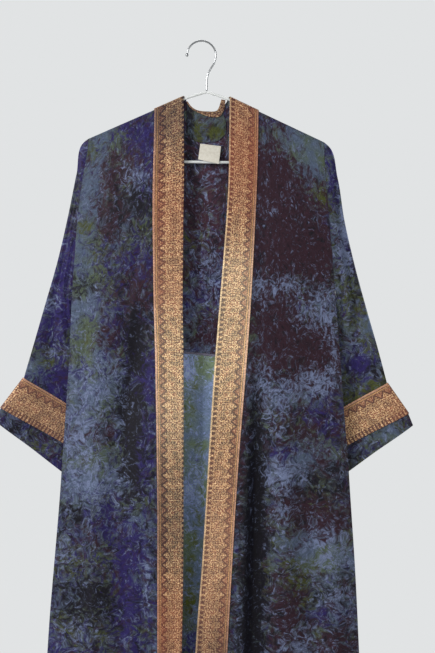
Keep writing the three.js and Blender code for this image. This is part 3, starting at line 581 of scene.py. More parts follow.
# ---- the cut of the body
@dataclass(frozen=True)
class BodyCut:
    """Surface of the hanging body, worked out from the cut's sizes and tables."""

    neck_half: float = 40
    neck_drop: float = 96.5
    shoulder_half: float = 204
    shoulder_slope: float = 0.4557
    underarm_drop: float = 427
    waist_seam_drop: float = 541
    hem_drop: float = 1296
    apex_drop: float = 88
    neck_turn: float = 35.5
    neck_curve: float = 1.25
    neck_lift_fade: float = 6
    armhole_half_gap: float = 6
    armhole_fullness: float = 0.6
    fold_fade: float = 36
    wrap_fade: float = 90
    sag_depth: float = 4
    sag_period: float = 45
    sag_reach: float = 150
    sag_height: float = 66
    wrap_rows: int = 6
    upper_rows: int = 52
    lower_rows: int = 176
    shoulder_columns: int = 36
    neck_columns: tuple[float, ...] = (40, 39, 38, 37, 36.2, 35.5, 34, 31, 28, 24, 20, 16, 12, 8, 4)

    @property
    def side_seam_y(self) -> float:
        """Distance of a closed side edge from the hanger's plane."""
        return LAYER_STEP / 2

    @property
    def wrap_length(self) -> float:
        """Length of cloth round a quarter of the hanger's arm."""
        return WRAP * math.pi / 2

    @property
    def levels(self) -> Array:
        """Drops of the rows along a side edge, below the shoulder's wrap."""
        top = float(self.wire_drop(np.array(self.shoulder_half)))
        upper = np.linspace(top, self.underarm_drop, self.upper_rows)[1:]
        between = np.linspace(self.underarm_drop, self.waist_seam_drop, self.lower_rows // 8)[1:]
        lower = np.linspace(self.waist_seam_drop, self.hem_drop, self.lower_rows * 7 // 8)[1:]
        return np.concatenate([upper, between, lower])

    @property
    def underarm_row(self) -> int:
        """Row at which the armhole ends."""
        return self.wrap_rows + self.upper_rows - 2

    @property
    def waist_row(self) -> int:
        """Row of the seam across the back."""
        return self.underarm_row + self.lower_rows // 8 - 1

    def edge(self, name: str, drop: Array) -> Array:
        """Place across of a named edge of the front at a drop."""
        return column(FRONT_EDGES, "drop", name, drop)

    def wire_drop(self, x: Array) -> Array:
        """Drop of the hanger arm's centre at a place across.

        Args:
            x: places across.

        Returns:
            Drops there.
        """
        across = np.abs(x)
        at_neck = self.neck_drop + WRAP * math.hypot(1, self.shoulder_slope)
        outside = at_neck + (across - self.neck_half) * self.shoulder_slope
        share = np.clip(across / self.neck_half, 0, 1) ** self.neck_curve
        return np.where(across >= self.neck_half, outside, mix(self.apex_drop, at_neck, share))

    def side_half_gap(self, drop: Array) -> Array:
        """Half the gap between front and back at the side edge, which shapes the armhole.

        Args:
            drop: drops.

        Returns:
            Half the gap there.
        """
        top = self.wire_drop(np.array(self.shoulder_half))
        u = np.clip((drop - top) / (self.underarm_drop - top), 0, 1)
        open_share = np.clip(np.sin(np.pi * u), 0, 1) ** self.armhole_fullness
        return mix(self.side_seam_y, self.armhole_half_gap, open_share)

    def fold_depth(self, folds: Sequence[Fold], x: Array, drop: Array) -> Array:
        """Sum of hanging folds at points of a panel.

        Args:
            folds: the folds of one panel.
            x: places across.
            drop: drops.

        Returns:
            How far the folds go in.
        """
        total = np.zeros(np.broadcast(x, drop).shape)
        for fold in folds:
            run = np.clip((drop - fold.top) / (fold.bottom - fold.top), 0, 1)
            centre = mix(fold.x0, fold.x1, run) + fold.bow * np.sin(np.pi * run)
            total += fold.depth * ease(fold.top, fold.full, drop) * hump(x, centre, fold.width)
        return total

    def crease_depth(self, face: Face, x: Array, drop: Array) -> Array:
        """Sum of the soft creases at points of a panel.

        Args:
            face: front or back.
            x: places across.
            drop: drops.

        Returns:
            How far the creases go in.
        """
        total = np.zeros(np.broadcast(x, drop).shape)
        for crease in CREASES[face]:
            run = (drop - crease.drop0) / (crease.drop1 - crease.drop0)
            inside = np.clip(run, 0, 1)
            centre = mix(crease.x0, crease.x1, inside) + crease.bow * np.sin(np.pi * inside)
            total += crease.depth * np.sin(np.pi * inside) ** 0.8 * hump(x, centre, crease.width)
        return total

    def ripple(self, face: Face, x: Array, drop: Array) -> Array:
        """Slight unevenness of hanging silk, under a millimetre.

        Args:
            face: front or back.
            x: places across.
            drop: drops.

        Returns:
            How far the cloth goes in.
        """
        turn = 1.7 if face is Face.BACK else 0.0
        long_wave = np.sin(x / 13 + 1.4 * np.sin(drop / 90 + turn) + turn)
        short_wave = np.sin(x / 6.5 - drop / 70 + 2 * turn) * np.sin(drop / 34 + x / 40)
        return 0.45 * long_wave + 0.28 * short_wave

    def depth(self, face: Face, x: Array, drop: Array) -> Array:
        """How far a panel stands from the hanger's plane, always positive.

        Args:
            face: front or back.
            x: places across.
            drop: drops.

        Returns:
            Distances from the hanger's plane.
        """
        side = np.where(x < 0, -self.edge("side_r", drop), self.edge("side_l", drop))
        inside = np.maximum(0, side - np.abs(x))
        roundness = 1 - (1 - np.minimum(1, inside / side)) ** 3
        full = column(BODY_DEPTHS, "drop", face.name.lower(), drop)
        if face is Face.FRONT:
            right = self.fold_depth(FRONT_FOLDS[Side.R], x, drop)
            folds = np.where(x < 0, right, self.fold_depth(FRONT_FOLDS[Side.L], x, drop))
        else:
            folds = -self.fold_depth(BACK_FOLDS, x, drop)
        shaped = folds + self.crease_depth(face, x, drop) + self.ripple(face, x, drop)
        loose = mix(self.side_half_gap(drop), full, roundness) - shaped * ease(0, self.fold_fade, inside)
        free = ease(0, self.wrap_fade, drop - self.wire_drop(x))
        return np.maximum(mix(WRAP, loose, free), self.side_seam_y)

    def row_drop(self, level: float, top: Array) -> Array:
        """Drop of a row at places where the row starts from the drop called top.

        Args:
            level: the row's drop at the side edge.
            top: drops where the row of the top edge lies.

        Returns:
            Drops of the row.
        """
        if level >= self.underarm_drop:
            return np.full(np.shape(top), level)
        side_top = self.wire_drop(np.array(self.shoulder_half))
        return mix(top, self.underarm_drop, (level - side_top) / (self.underarm_drop - side_top))

    def wrap(self, x: Array, angle: Array, face: Face, radius: Array = WRAP) -> Array:
        """Points on the shoulder's wrap, turned by an angle from flat (0) to on top (90 degrees).

        Args:
            x: places across.
            angle: how far round the arm.
            face: front or back.
            radius: the cloth's distance from the arm's middle.

        Returns:
            The points.
        """
        y = np.maximum(SEAM_GAP / 2, radius * np.cos(angle))
        rise = radius * np.sin(angle) * math.hypot(1, self.shoulder_slope)
        return points(x, face.value * y, self.wire_drop(x) - rise)

    def front(self, side: Side, strips: Array) -> Array:
        """Grid of a front.

        Args:
            side: the wearer's side.
            strips: places across, from 0 at the side edge over 1 at the band's outer edge to 2.

        Returns:
            Points of shape (rows, strips, 3).
        """
        name = side.name.lower()

        def across(drop: Array) -> Array:
            """Places of the strips at a drop."""
            outer = self.edge(f"outer_{name}", drop)
            panel = mix(self.edge(f"side_{name}", drop), outer, np.minimum(1, strips))
            return mix(panel, self.edge(f"inner_{name}", drop), np.maximum(0, strips - 1))

        grid = []
        for angle in np.linspace(math.pi / 2, 0, self.wrap_rows):
            grid.append(self.wrap(across(np.full(strips.shape, self.neck_drop)), angle, Face.FRONT))
        for level in self.levels:
            drop = np.full(strips.shape, level)
            for _ in range(2):
                x = across(drop)
                drop = self.row_drop(level, self.wire_drop(x))
            x = across(drop)
            grid.append(points(x, -self.depth(Face.FRONT, x, drop), drop))
        return np.array(grid)

    def back_point(self, x: Array, down: Array) -> Array:
        """Points of the back at lengths of cloth below its top edge.

        Args:
            x: places across.
            down: lengths of cloth below the top edge.

        Returns:
            The points.
        """
        x, down = np.broadcast_arrays(np.asarray(x, float), np.asarray(down, float))
        across = np.abs(x)
        turn_drop = column(BACK_NECKLINE, "across", "drop", np.full(x.shape, self.neck_turn))
        neck_drop = column(BACK_NECKLINE, "across", "drop", across) + down
        at_neck = points(x, self.depth(Face.BACK, x, neck_drop), neck_drop)
        share = np.clip((across - self.neck_turn) / (self.neck_half - self.neck_turn), 0, 1)
        start = math.pi / 2 * share
        lift = np.where(across < self.neck_half, np.minimum(1, 2 - start / (math.pi / 4)), 0)
        edge_drop = mix(self.wire_drop(x), turn_drop, lift)
        angle = start - down / WRAP
        wrapped = self.wrap(x, angle, Face.BACK, WRAP + lift)
        drop = edge_drop - np.minimum(0, angle) * WRAP
        fade = np.exp(-(drop - edge_drop) / self.neck_lift_fade)
        hanging = points(x, self.depth(Face.BACK, x, drop) + lift * fade, drop)
        outside = np.where((angle > 0)[..., None], wrapped, hanging)
        return np.where((across < self.neck_turn)[..., None], at_neck, outside)

    def waist_sag(self, x: Array, drop: Array) -> Array:
        """How far the seam across the back, and the cloth near it, hang lower.

        Args:
            x: places across.
            drop: drops.

        Returns:
            How much lower the cloth hangs there.
        """
        near = np.clip(1 - np.abs(drop - self.waist_seam_drop) / self.sag_height, 0, 1)
        wave = np.sin(x / self.sag_period) * np.exp(-((x / self.sag_reach) ** 2))
        return self.sag_depth * wave * near

    def back(self, first: int, last: int) -> Array:
        """Grid of the back from one row to another, from the wearer's right to the left.

        Args:
            first: the first row.
            last: the last row.

        Returns:
            Points of shape (rows, columns, 3).
        """
        neck = np.array(self.neck_columns, float)
        count = len(neck)
        shoulder = np.linspace(0, 1, self.shoulder_columns, endpoint=False)
        grid = []
        for row in range(first, last + 1):
            wrapping = row < self.wrap_rows
            level = self.neck_drop if wrapping else self.levels[row - self.wrap_rows]
            widen = ease(self.wrap_rows, self.waist_row, np.array(float(row)))
            spread = mix(neck, self.neck_half * (1 - np.arange(count) / count), widen)
            halves = []
            for side in Side:
                reach = abs(float(self.edge(f"side_{side.name.lower()}", np.array(level))))
                halves.append(np.concatenate([mix(reach, self.neck_half, shoulder), spread]))
            x = np.concatenate([-halves[0], [0.0], halves[1][::-1]])
            if wrapping:
                grid.append(self.back_point(x, self.wrap_length * row / (self.wrap_rows - 1)))
                continue
            top = -self.back_point(x, self.wrap_length)[..., 2]
            drop = self.row_drop(level, top)
            grid.append(points(x, self.depth(Face.BACK, x, drop), drop + self.waist_sag(x, drop)))
        return np.array(grid)

    def off_back(self, x: Array, down: Array, distance: float) -> Array:
        """Points moved off the back, where a positive distance is outside the garment.

        Args:
            x: places across.
            down: lengths of cloth below the top edge.
            distance: how far they move.

        Returns:
            The points.
        """
        step = 0.5
        down = np.asarray(down, float)
        above = self.back_point(x, np.maximum(0, down - step))
        along = self.back_point(x, down + step) - above
        beside = self.back_point(np.add(x, step), down) - self.back_point(np.subtract(x, step), down)
        outward = np.cross(beside, along)
        outward /= np.linalg.norm(outward, axis=-1, keepdims=True)
        return self.back_point(x, down) + outward * distance


# ---- cloth and rods as meshes
@dataclass
class DyeBath:
    """Strengths of the dyes at points of the silk, from listed patches."""

    blots: Blots
    base: tuple[float, float, float, float, float] = (0.44, 0.34, 0.28, 0.36, 0.14)
    gain: float = 0.62
    rivalry: float = 0.22
    clearing: float = 0.7
    fall: float = 1.1
    weakest: float = -0.4
    strongest: float = 1.3

    def strengths(self, grid: Array) -> Array:
        """Strength of each dye at each point of a grid.

        Args:
            grid: points in the garment's frame.

        Returns:
            An array with one more axis of five strengths, in the order of Dye.
        """
        x, drop = grid[..., 0], -grid[..., 2]
        out = np.zeros(x.shape + (len(self.base),)) + self.base
        for dye, blot in ((dye, blot) for dye, blots in self.blots.items() for blot in blots):
            squared = ((x - blot.x) / blot.wide) ** 2 + ((drop - blot.drop) / blot.tall) ** 2
            amount = self.gain * blot.strength * np.exp(-(squared**self.fall) / 2)
            if dye is Dye.CLEAR:
                out[..., : Dye.PALE.value] -= (self.clearing * amount)[..., None]
                continue
            out[..., dye.value] += amount
            if dye is not Dye.PALE:
                rivals = [k for k in range(Dye.PALE.value) if k != dye.value]
                out[..., rivals] -= (self.rivalry * amount)[..., None]
                out[..., Dye.PALE.value] -= self.rivalry / 2 * amount
        return np.clip(out, self.weakest, self.strongest)


@dataclass
class Shell:
    """A thin closed shell of cloth on a grid of points.

    Args:
        name: the piece's name.
        grid: points of the cloth's middle, in the garment's frame.
        thickness: one number, or one for each column of the grid.
        outward: a direction that the outside faces, or None on a tube.
        ring: whether the last column joins the first.
        inside: how much painted light its inside faces get, a lift in tone that stands partly for the paler
            inside of dyed silk and partly for light shining through the sheer cloth.
    """

    name: str
    grid: Array
    thickness: Any
    outward: Sequence[float] | None = None
    ring: bool = False
    inside: float = 1.0

    def normals(self) -> Array:
        """Unit normals that point outside.

        Returns:
            One vector for each point of the grid.
        """
        grid = self.grid
        if self.ring:
            across = np.roll(grid, -1, 1) - np.roll(grid, 1, 1)
        else:
            across = np.gradient(grid, axis=1)
        normal = np.cross(across, np.gradient(grid, axis=0))
        normal /= np.maximum(1e-9, np.linalg.norm(normal, axis=-1, keepdims=True))
        out = np.array(self.outward) if self.outward is not None else grid - grid.mean(1, keepdims=True)
        return normal if (normal * out).sum() > 0 else -normal

    def moved_out(self, distance: float) -> Array:
        """The grid moved to its outside."""
        return self.grid + self.normals() * distance

    def cloth_uv(self, offset: float) -> Array:
        """Place of each point on the flat cloth, in metres, moved by an offset of the piece's own.

        Args:
            offset: metres that keep the piece's pattern apart from the others'.

        Returns:
            Two numbers for each point of the grid.
        """
        u = lengths(self.grid, 1).mean(0, keepdims=True) + np.zeros(self.grid.shape[:2])
        v = lengths(self.grid, 0).mean(1, keepdims=True) + np.zeros(self.grid.shape[:2])
        return np.stack([u * MM + offset, v * MM], -1)

    def flat_size(self) -> tuple[tuple[float, float], float]:
        """The cut's (width, length) and its area, in metres, from the cloth's own lengths.

        Returns:
            The width and length of the cut, and its area.
        """
        grid = np.concatenate([self.grid, self.grid[:, :1]], 1) if self.ring else self.grid
        width = lengths(grid, 1)[:, -1].max() * MM
        length = lengths(grid, 0)[-1].max() * MM
        across, down = np.diff(grid, axis=1)[:-1], np.diff(grid, axis=0)[:, :-1]
        area = np.linalg.norm(np.cross(across, down), axis=-1).sum() * MM * MM
        return (round(width, 3), round(length, 3)), round(min(area, width * length), 4)

    def build(self, uv: Array, dyes: Array | None = None) -> Object:
        """Makes the mesh.

        Args:
            uv: place of each point on the flat cloth, for the UV map called cloth.
            dyes: five dye strengths a point, or None.

        Returns:
            The new object.
        """
        rows, columns = self.grid.shape[:2]
        reach = self.normals() * (np.asarray(self.thickness) / 2 * np.ones(columns))[None, :, None]
        both = np.concatenate([(self.grid + reach).reshape(-1, 3), (self.grid - reach).reshape(-1, 3)])
        index = np.arange(rows * columns).reshape(rows, columns)
        wide = np.concatenate([index, index[:, :1]], 1) if self.ring else index
        a, b, c, d = wide[:-1, :-1], wide[:-1, 1:], wide[1:, 1:], wide[1:, :-1]
        under = rows * columns
        faces = [np.stack([a, b, c, d], -1).reshape(-1, 4), np.stack([a, d, c, b], -1).reshape(-1, 4) + under]
        rims = [(wide[0, 1:], wide[0, :-1]), (wide[-1, :-1], wide[-1, 1:])]
        if not self.ring:
            rims += [(wide[:-1, 0], wide[1:, 0]), (wide[1:, -1], wide[:-1, -1])]
        faces += [np.stack([p, q, q + under, p + under], -1) for p, q in rims]
        quads = np.concatenate(faces)
        first = both[quads[0]]
        turned = np.cross(first[1] - first[0], first[3] - first[0]) @ reach[0, 0] < 0
        quads = quads[:, ::-1] if turned else quads
        mesh = mesh_of(self.name, both, quads)
        flat = np.concatenate([uv.reshape(-1, 2)] * 2)
        layer = mesh.uv_layers.new(name="cloth")
        layer.data.foreach_set("uv", flat[quads.ravel()].astype(np.float32).ravel())
        if dyes is not None:
            every = np.concatenate([dyes.reshape(-1, 5)] * 2)
            # the inside faces' share of painted light, stored as the third number of tone
            inner = np.repeat([0.0, self.inside], rows * columns)
            store_vector(mesh, "dye", every[:, :3])
            store_vector(mesh, "tone", np.stack([every[:, 3], every[:, 4], inner], -1))
        return place(self.name, mesh)


def mesh_of(name: str, vertices: Array, faces: Array | Sequence[Sequence[int]]) -> Mesh:
    """A smooth-shaded mesh from garment-frame points in millimetres.

    Args:
        name: the mesh's name.
        vertices: the points.
        faces: point numbers of each face.

    Returns:
        The mesh.
    """
    mesh = bpy.data.meshes.new(name)
    metres = (np.asarray(vertices, float) + (GARMENT_X, 0, 0)) * MM
    mesh.from_pydata(metres.tolist(), [], np.asarray(faces).tolist() if isinstance(faces, Array) else faces)
    mesh.polygons.foreach_set("use_smooth", np.ones(len(mesh.polygons), bool))
    mesh.set_sharp_from_angle(angle=SHARP_ANGLE)
    mesh.update()
    return mesh


def store_vector(mesh: Mesh, name: str, values: Array) -> None:
    """Stores three numbers a vertex under a name."""
    attribute = mesh.attributes.new(name, "FLOAT_VECTOR", "POINT")
    attribute.data.foreach_set("vector", values.astype(np.float32).ravel())


def place(name: str, mesh: Mesh) -> Object:
    """A new object in the scene.

    Args:
        name: the object's name.
        mesh: its mesh.

    Returns:
        The object.
    """
    made = bpy.data.objects.new(name, mesh)
    bpy.context.scene.collection.objects.link(made)
    return made


def register(piece: Object, slot: Slot, finish: Material, *nodes: str) -> Object:
    """Puts a piece on the body, gives it its finish and hides the solids that it stands for.

    Args:
        piece: the new object.
        slot: not used.
        finish: its material.
        nodes: names of the solids.

    Returns:
        The piece.
    """
    piece.data.materials.append(finish)
    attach(piece, BODY)
    if nodes:
        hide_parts(*nodes)
    log.info("%s: %d faces", piece.name, len(piece.data.polygons))
    return piece


def hang(
    shell: Shell,
    uv: Array,
    dyes: Array | None,
    slot: Slot,
    finish: Material,
    carrier: str,
    *nodes: str,
) -> None:
    """Makes a piece of cloth and registers it, and works out the flat size of its cut, which it does not
    keep.

    Args:
        shell: the cloth's shape.
        uv: place of each point on the flat cloth.
        dyes: five dye strengths a point, or None.
        slot: the record's slot of its finish.
        finish: its material.
        carrier: not used.
        nodes: names of the solids that it stands for.
    """
    made = register(shell.build(uv, dyes), slot, finish, *nodes)
    flat, area = shell.flat_size()


def tube_faces(rings: int, sides: int, base: int = 0) -> list[tuple[int, ...]]:
    """Faces of a closed tube on rings of points, the first of which has the number base.

    Args:
        rings: how many rings.
        sides: points in a ring.
        base: number of the first point.

    Returns:
        Point numbers of each face.
    """
    faces = []
    for ring in range(rings - 1):
        near = base + ring * sides
        for k in range(sides):
            after = (k + 1) % sides
            faces.append((near + k, near + after, near + sides + after, near + sides + k))
    last = base + (rings - 1) * sides
    faces.append(tuple(base + k for k in reversed(range(sides))))
    faces.append(tuple(last + k for k in range(sides)))
    return faces


@dataclass
class Rod:
    """Round wire along a path in the hanger's plane, with rounded ends.

    Args:
        path: points [x, drop].
        radius: one number, or one for each point of the path.
        sides: corners round the wire.
    """

    path: Array
    radius: Any
    sides: int = 20

    def build(self, name: str) -> Object:
        """Makes the mesh as one closed tube.

        Args:
            name: the piece's name.

        Returns:
            The new object.
        """
        centre = points(self.path[:, 0], np.zeros(len(self.path)), self.path[:, 1])
        tangent = np.gradient(centre, axis=0)
        tangent /= np.linalg.norm(tangent, axis=1, keepdims=True)
        radius = np.asarray(self.radius) * np.ones(len(centre))
        caps = np.linspace(0, math.pi / 2, 5)[1:]
        start = [(centre[0] - tangent[0] * radius[0] * math.sin(c), radius[0] * math.cos(c)) for c in caps]
        end = [(centre[-1] + tangent[-1] * radius[-1] * math.sin(c), radius[-1] * math.cos(c)) for c in caps]
        stations = start[::-1] + list(zip(centre, radius)) + end
        directions = [tangent[0]] * len(start) + list(tangent) + [tangent[-1]] * len(end)
        turns = np.linspace(0, 2 * math.pi, self.sides, endpoint=False)
        depth = np.array([0.0, 1.0, 0.0])
        rings = []
        for (middle, size), direction in zip(stations, directions):
            beside = np.cross(direction, depth)
            size = max(size, 0.02)
            rings.append(middle + size * (np.outer(np.cos(turns), beside) + np.outer(np.sin(turns), depth)))
        mesh = mesh_of(name, np.concatenate(rings), tube_faces(len(rings), self.sides))
        mesh.validate()
        return place(name, mesh)


# ---- finishes
def linear(colour: str) -> tuple[float, float, float, float]:
    """Linear RGBA of an sRGB hex colour.

    Args:
        colour: a hash and six hex digits.

    Returns:
        Four numbers from 0 to 1.
    """
    parts = [int(colour[i : i + 2], 16) / 255 for i in (1, 3, 5)]
    flat = [c / 12.92 if c <= 0.04045 else ((c + 0.055) / 1.055) ** 2.4 for c in parts]
    return (*flat, 1.0)


MULTIPLY = {"operation": "MULTIPLY"}
MULTIPLY_ADD = {"operation": "MULTIPLY_ADD"}
ADD = {"operation": "ADD"}
SUBTRACT = {"operation": "SUBTRACT"}
DIVIDE = {"operation": "DIVIDE"}
SINE = {"operation": "SINE"}
ABSOLUTE = {"operation": "ABSOLUTE"}
PINGPONG = {"operation": "PINGPONG"}
SMOOTH = {"interpolation_type": "SMOOTHSTEP"}
COLOURS = {"data_type": "RGBA", "clamp_factor": True}


def add_node(
    tree: NodeTree,
    kind: str,
    settings: dict[str, Any] | None = None,
    inputs: dict[Any, Any] | Sequence[Any] = (),
    output: int | str = 0,
) -> NodeSocket | None:
    """Adds a node with its settings, values and links.

    Args:
        tree: the node tree.
        kind: the node's kind, without the ShaderNode prefix.
        settings: attributes of the node.
        inputs: values or sockets for its inputs, by name or place, or in order from the first.
        output: the output that is wanted, by name or place.

    Returns:
        That output, or None on a node without outputs.
    """
    node = tree.nodes.new("ShaderNode" + kind)
    for name, value in (settings or {}).items():
        setattr(node, name, value)
    given = inputs if isinstance(inputs, dict) else dict(enumerate(inputs))
    for name, value in given.items():
        if isinstance(value, NodeSocket):
            tree.links.new(value, node.inputs[name])
        else:
            node.inputs[name].default_value = value
    return node.outputs[output] if len(node.outputs) else None


def grain_scale(size_mm: float) -> float:
    """Scale of a noise whose grain is this wide, where places are in metres."""
    return 1 / (size_mm * MM)


def new_finish(name: str) -> tuple[Material, NodeTree]:
    """An empty material and its node tree.

    Args:
        name: the material's name.

    Returns:
        The material and its tree.
    """
    material = bpy.data.materials.new(name)
    material.use_nodes = True
    material.node_tree.nodes.clear()
    return material, material.node_tree


def coat_with(tree: NodeTree, sockets: dict[str, Any]) -> None:
    """Ends a finish in one surface shader with these sockets."""
    surface = add_node(tree, "BsdfPrincipled", inputs=sockets)
    add_node(tree, "OutputMaterial", inputs={"Surface": surface})


def crossed_threads(tree: NodeTree, cloth: NodeSocket, thread_mm: float) -> NodeSocket:
    """Height of a weave whose threads cross at this spacing.

    Args:
        tree: the node tree.
        cloth: places on the flat cloth, in metres.
        thread_mm: distance between two threads.

    Returns:
        A height from -1 to 1.
    """
    places = add_node(tree, "SeparateXYZ", inputs=(cloth,)).node.outputs
    turns = 2 * math.pi / (thread_mm * MM)
    waves = []
    for k in (0, 1):
        phase = add_node(tree, "Math", MULTIPLY, (places[k], turns))
        waves.append(add_node(tree, "Math", SINE, (phase,)))
    return add_node(tree, "Math", MULTIPLY, waves)


@dataclass(frozen=True)
class IceDyedSilk:
    """Silk satin, ice-dyed: soft sheen, feathered patches of dye that bleed into each other. Its dark layer
    also paints shade in some fold valleys, and its inside faces are lifted in tone by painted light.

    The weave is finer than the picture can show, so its threads are drawn 1.1 mm apart. Sizes in mm
    are the width of a crumple in the bath, of a patch of the ground, of a vein and of the fine grain.
    """

    name: str = "ice_dyed_silk_satin"
    slate: str = "#4F5B70"
    moss: str = "#4C5746"
    olive: str = "#454A22"
    violet: str = "#2A2258"
    plum: str = "#321E28"
    dark: str = "#17151D"
    pale: str = "#6F7998"
    sheen_tint: str = "#9AA6C4"
    roughness: float = 0.5
    ior: float = 1.54
    sheen: float = 0.03
    thread_mm: float = 1.1
    crumple_mm: float = 1000 / 30
    ground_mm: float = 1000 / 16
    vein_mm: float = 1000 / 80
    fine_mm: float = 1000 / 210
    spread: float = 3.4
    softness: float = 0.34
    # painted light: the inside faces' tone is lifted by this factor, partly for the paler inside of dyed silk
    # and partly for light shining through the sheer cloth
    inside_painted_light: float = 1.75

    def feathers(self, tree: NodeTree, at: NodeSocket, layer: float, size_mm: float) -> NodeSocket:
        """Feathered grain of one dye, from 0 to 1, with its own layer of noise.

        Args:
            tree: the node tree.
            at: places on the crumpled cloth.
            layer: the dye's own layer.
            size_mm: width of a feather.

        Returns:
            The grain.
        """
        settings = {"noise_dimensions": "4D", "normalize": True}
        return add_node(tree, "TexNoise", settings, {
            "Vector": at, "W": layer, "Scale": grain_scale(size_mm), "Detail": 7.0, "Roughness": 0.7,
            "Distortion": 1.5,
        })

    def mask(self, tree: NodeTree, strength: Any, grain: NodeSocket) -> NodeSocket:
        """Where a dye of a strength has taken, with a feathered edge.

        Args:
            tree: the node tree.
            strength: the dye's strength.
            grain: its feathered grain.

        Returns:
            A mask from 0 to 1.
        """
        total = add_node(tree, "Math", MULTIPLY_ADD, (grain, self.spread, strength))
        middle = 0.5 + 0.5 * self.spread
        return add_node(tree, "MapRange", SMOOTH, (total, middle - self.softness, middle + self.softness))

    def warped(self, tree: NodeTree, cloth: NodeSocket) -> NodeSocket:
        """The flat cloth's places, crumpled as the cloth was in the dye bath, by up to 15 mm.

        Args:
            tree: the node tree.
            cloth: places on the flat cloth, in metres.

        Returns:
            The moved places.
        """
        inputs = {"Vector": cloth, "Scale": grain_scale(self.crumple_mm), "Detail": 3.0}
        drift = add_node(tree, "TexNoise", None, inputs, "Color")
        centred = add_node(tree, "VectorMath", SUBTRACT, (drift, (0.5, 0.5, 0.5)))
        return add_node(tree, "VectorMath", MULTIPLY_ADD, (centred, (0.03, 0.03, 0.0), cloth))

    def dyed(self, tree: NodeTree, at: NodeSocket, tone: Sequence[NodeSocket]) -> NodeSocket:
        """The cloth's colour from its ground and its layers of dye, whose feathers are 10 to 24 mm wide.

        Args:
            tree: the node tree.
            at: places on the crumpled cloth.
            tone: strengths of the dark and the pale dye.

        Returns:
            The colour.
        """
        stored = add_node(tree, "Attribute", {"attribute_name": "dye"}, output="Vector")
        dye = add_node(tree, "SeparateXYZ", inputs=(stored,)).node.outputs
        inputs = {"Vector": at, "Scale": grain_scale(self.ground_mm), "Detail": 5.0}
        turn = add_node(tree, "MapRange", SMOOTH, (add_node(tree, "TexNoise", inputs=inputs), 0.42, 0.62))
        colour = add_node(tree, "Mix", COLOURS, {0: turn, 6: linear(self.slate), 7: linear(self.moss)}, 2)
        layers = (
            (dye[2], 1.3, 1000 / 42, self.olive),
            (dye[0], 4.1, 1000 / 58, self.violet),
            (dye[1], 7.9, 1000 / 50, self.plum),
            # the dark layer also carries the patches of painted shade in fold valleys and at a front's edge
            # on a sleeve
            (tone[0], 11.7, 1000 / 64, self.dark),
            (tone[1], 15.2, 1000 / 95, self.pale),
        )
        for strength, layer, size_mm, tint in layers:
            taken = self.mask(tree, strength, self.feathers(tree, at, layer, size_mm))
            colour = add_node(tree, "Mix", COLOURS, {0: taken, 6: colour, 7: linear(tint)}, 2)
        settings = {"noise_dimensions": "4D", "noise_type": "RIDGED_MULTIFRACTAL"}
        veins = add_node(tree, "TexNoise", settings, {
            "Vector": at, "W": 3.0, "Scale": grain_scale(self.vein_mm), "Detail": 4.0, "Roughness": 0.6,
        })
        sharp = add_node(tree, "MapRange", SMOOTH, (veins, 0.8, 1.5))
        faint = add_node(tree, "Math", MULTIPLY, (sharp, 0.4))
        return add_node(tree, "Mix", COLOURS, {0: faint, 6: colour, 7: linear(self.dark)}, 2)

    def dress(self) -> Material:
        """Makes the material.

        Returns:
            The new material.
        """
        material, tree = new_finish(self.name)
        cloth = add_node(tree, "UVMap", {"uv_map": "cloth"})
        stored = add_node(tree, "Attribute", {"attribute_name": "tone"}, output="Vector")
        tone = add_node(tree, "SeparateXYZ", inputs=(stored,)).node.outputs
        at = self.warped(tree, cloth)
        colour = self.dyed(tree, at, tone)
        fine = self.feathers(tree, at, 21.0, self.fine_mm)
        value = add_node(tree, "MapRange", inputs=(fine, 0.32, 0.68, 0.6, 1.5))
        # painted light: the inside faces are lifted in tone
        lift = add_node(tree, "Math", MULTIPLY_ADD, (tone[2], self.inside_painted_light - 1, 1.0))
        value = add_node(tree, "Math", MULTIPLY, (value, lift))
        colour = add_node(tree, "HueSaturation", inputs={"Value": value, "Color": colour})
        weave = add_node(tree, "Math", MULTIPLY, (crossed_threads(tree, cloth, self.thread_mm), 0.25))
        height = add_node(tree, "Math", MULTIPLY_ADD, (fine, 1.6, weave))
        bump = add_node(tree, "Bump", inputs={"Strength": 0.35, "Distance": 0.0004, "Height": height})
        low, high = self.roughness - 0.08, self.roughness + 0.1
        rough = add_node(tree, "MapRange", inputs=(fine, 0.3, 0.7, low, high))
        coat_with(tree, {
            "Base Color": colour, "Roughness": rough, "IOR": self.ior, "Normal": bump,
            "Sheen Weight": self.sheen, "Sheen Roughness": 0.45, "Sheen Tint": linear(self.sheen_tint),
            "Specular IOR Level": 0.14,
        })
        return material


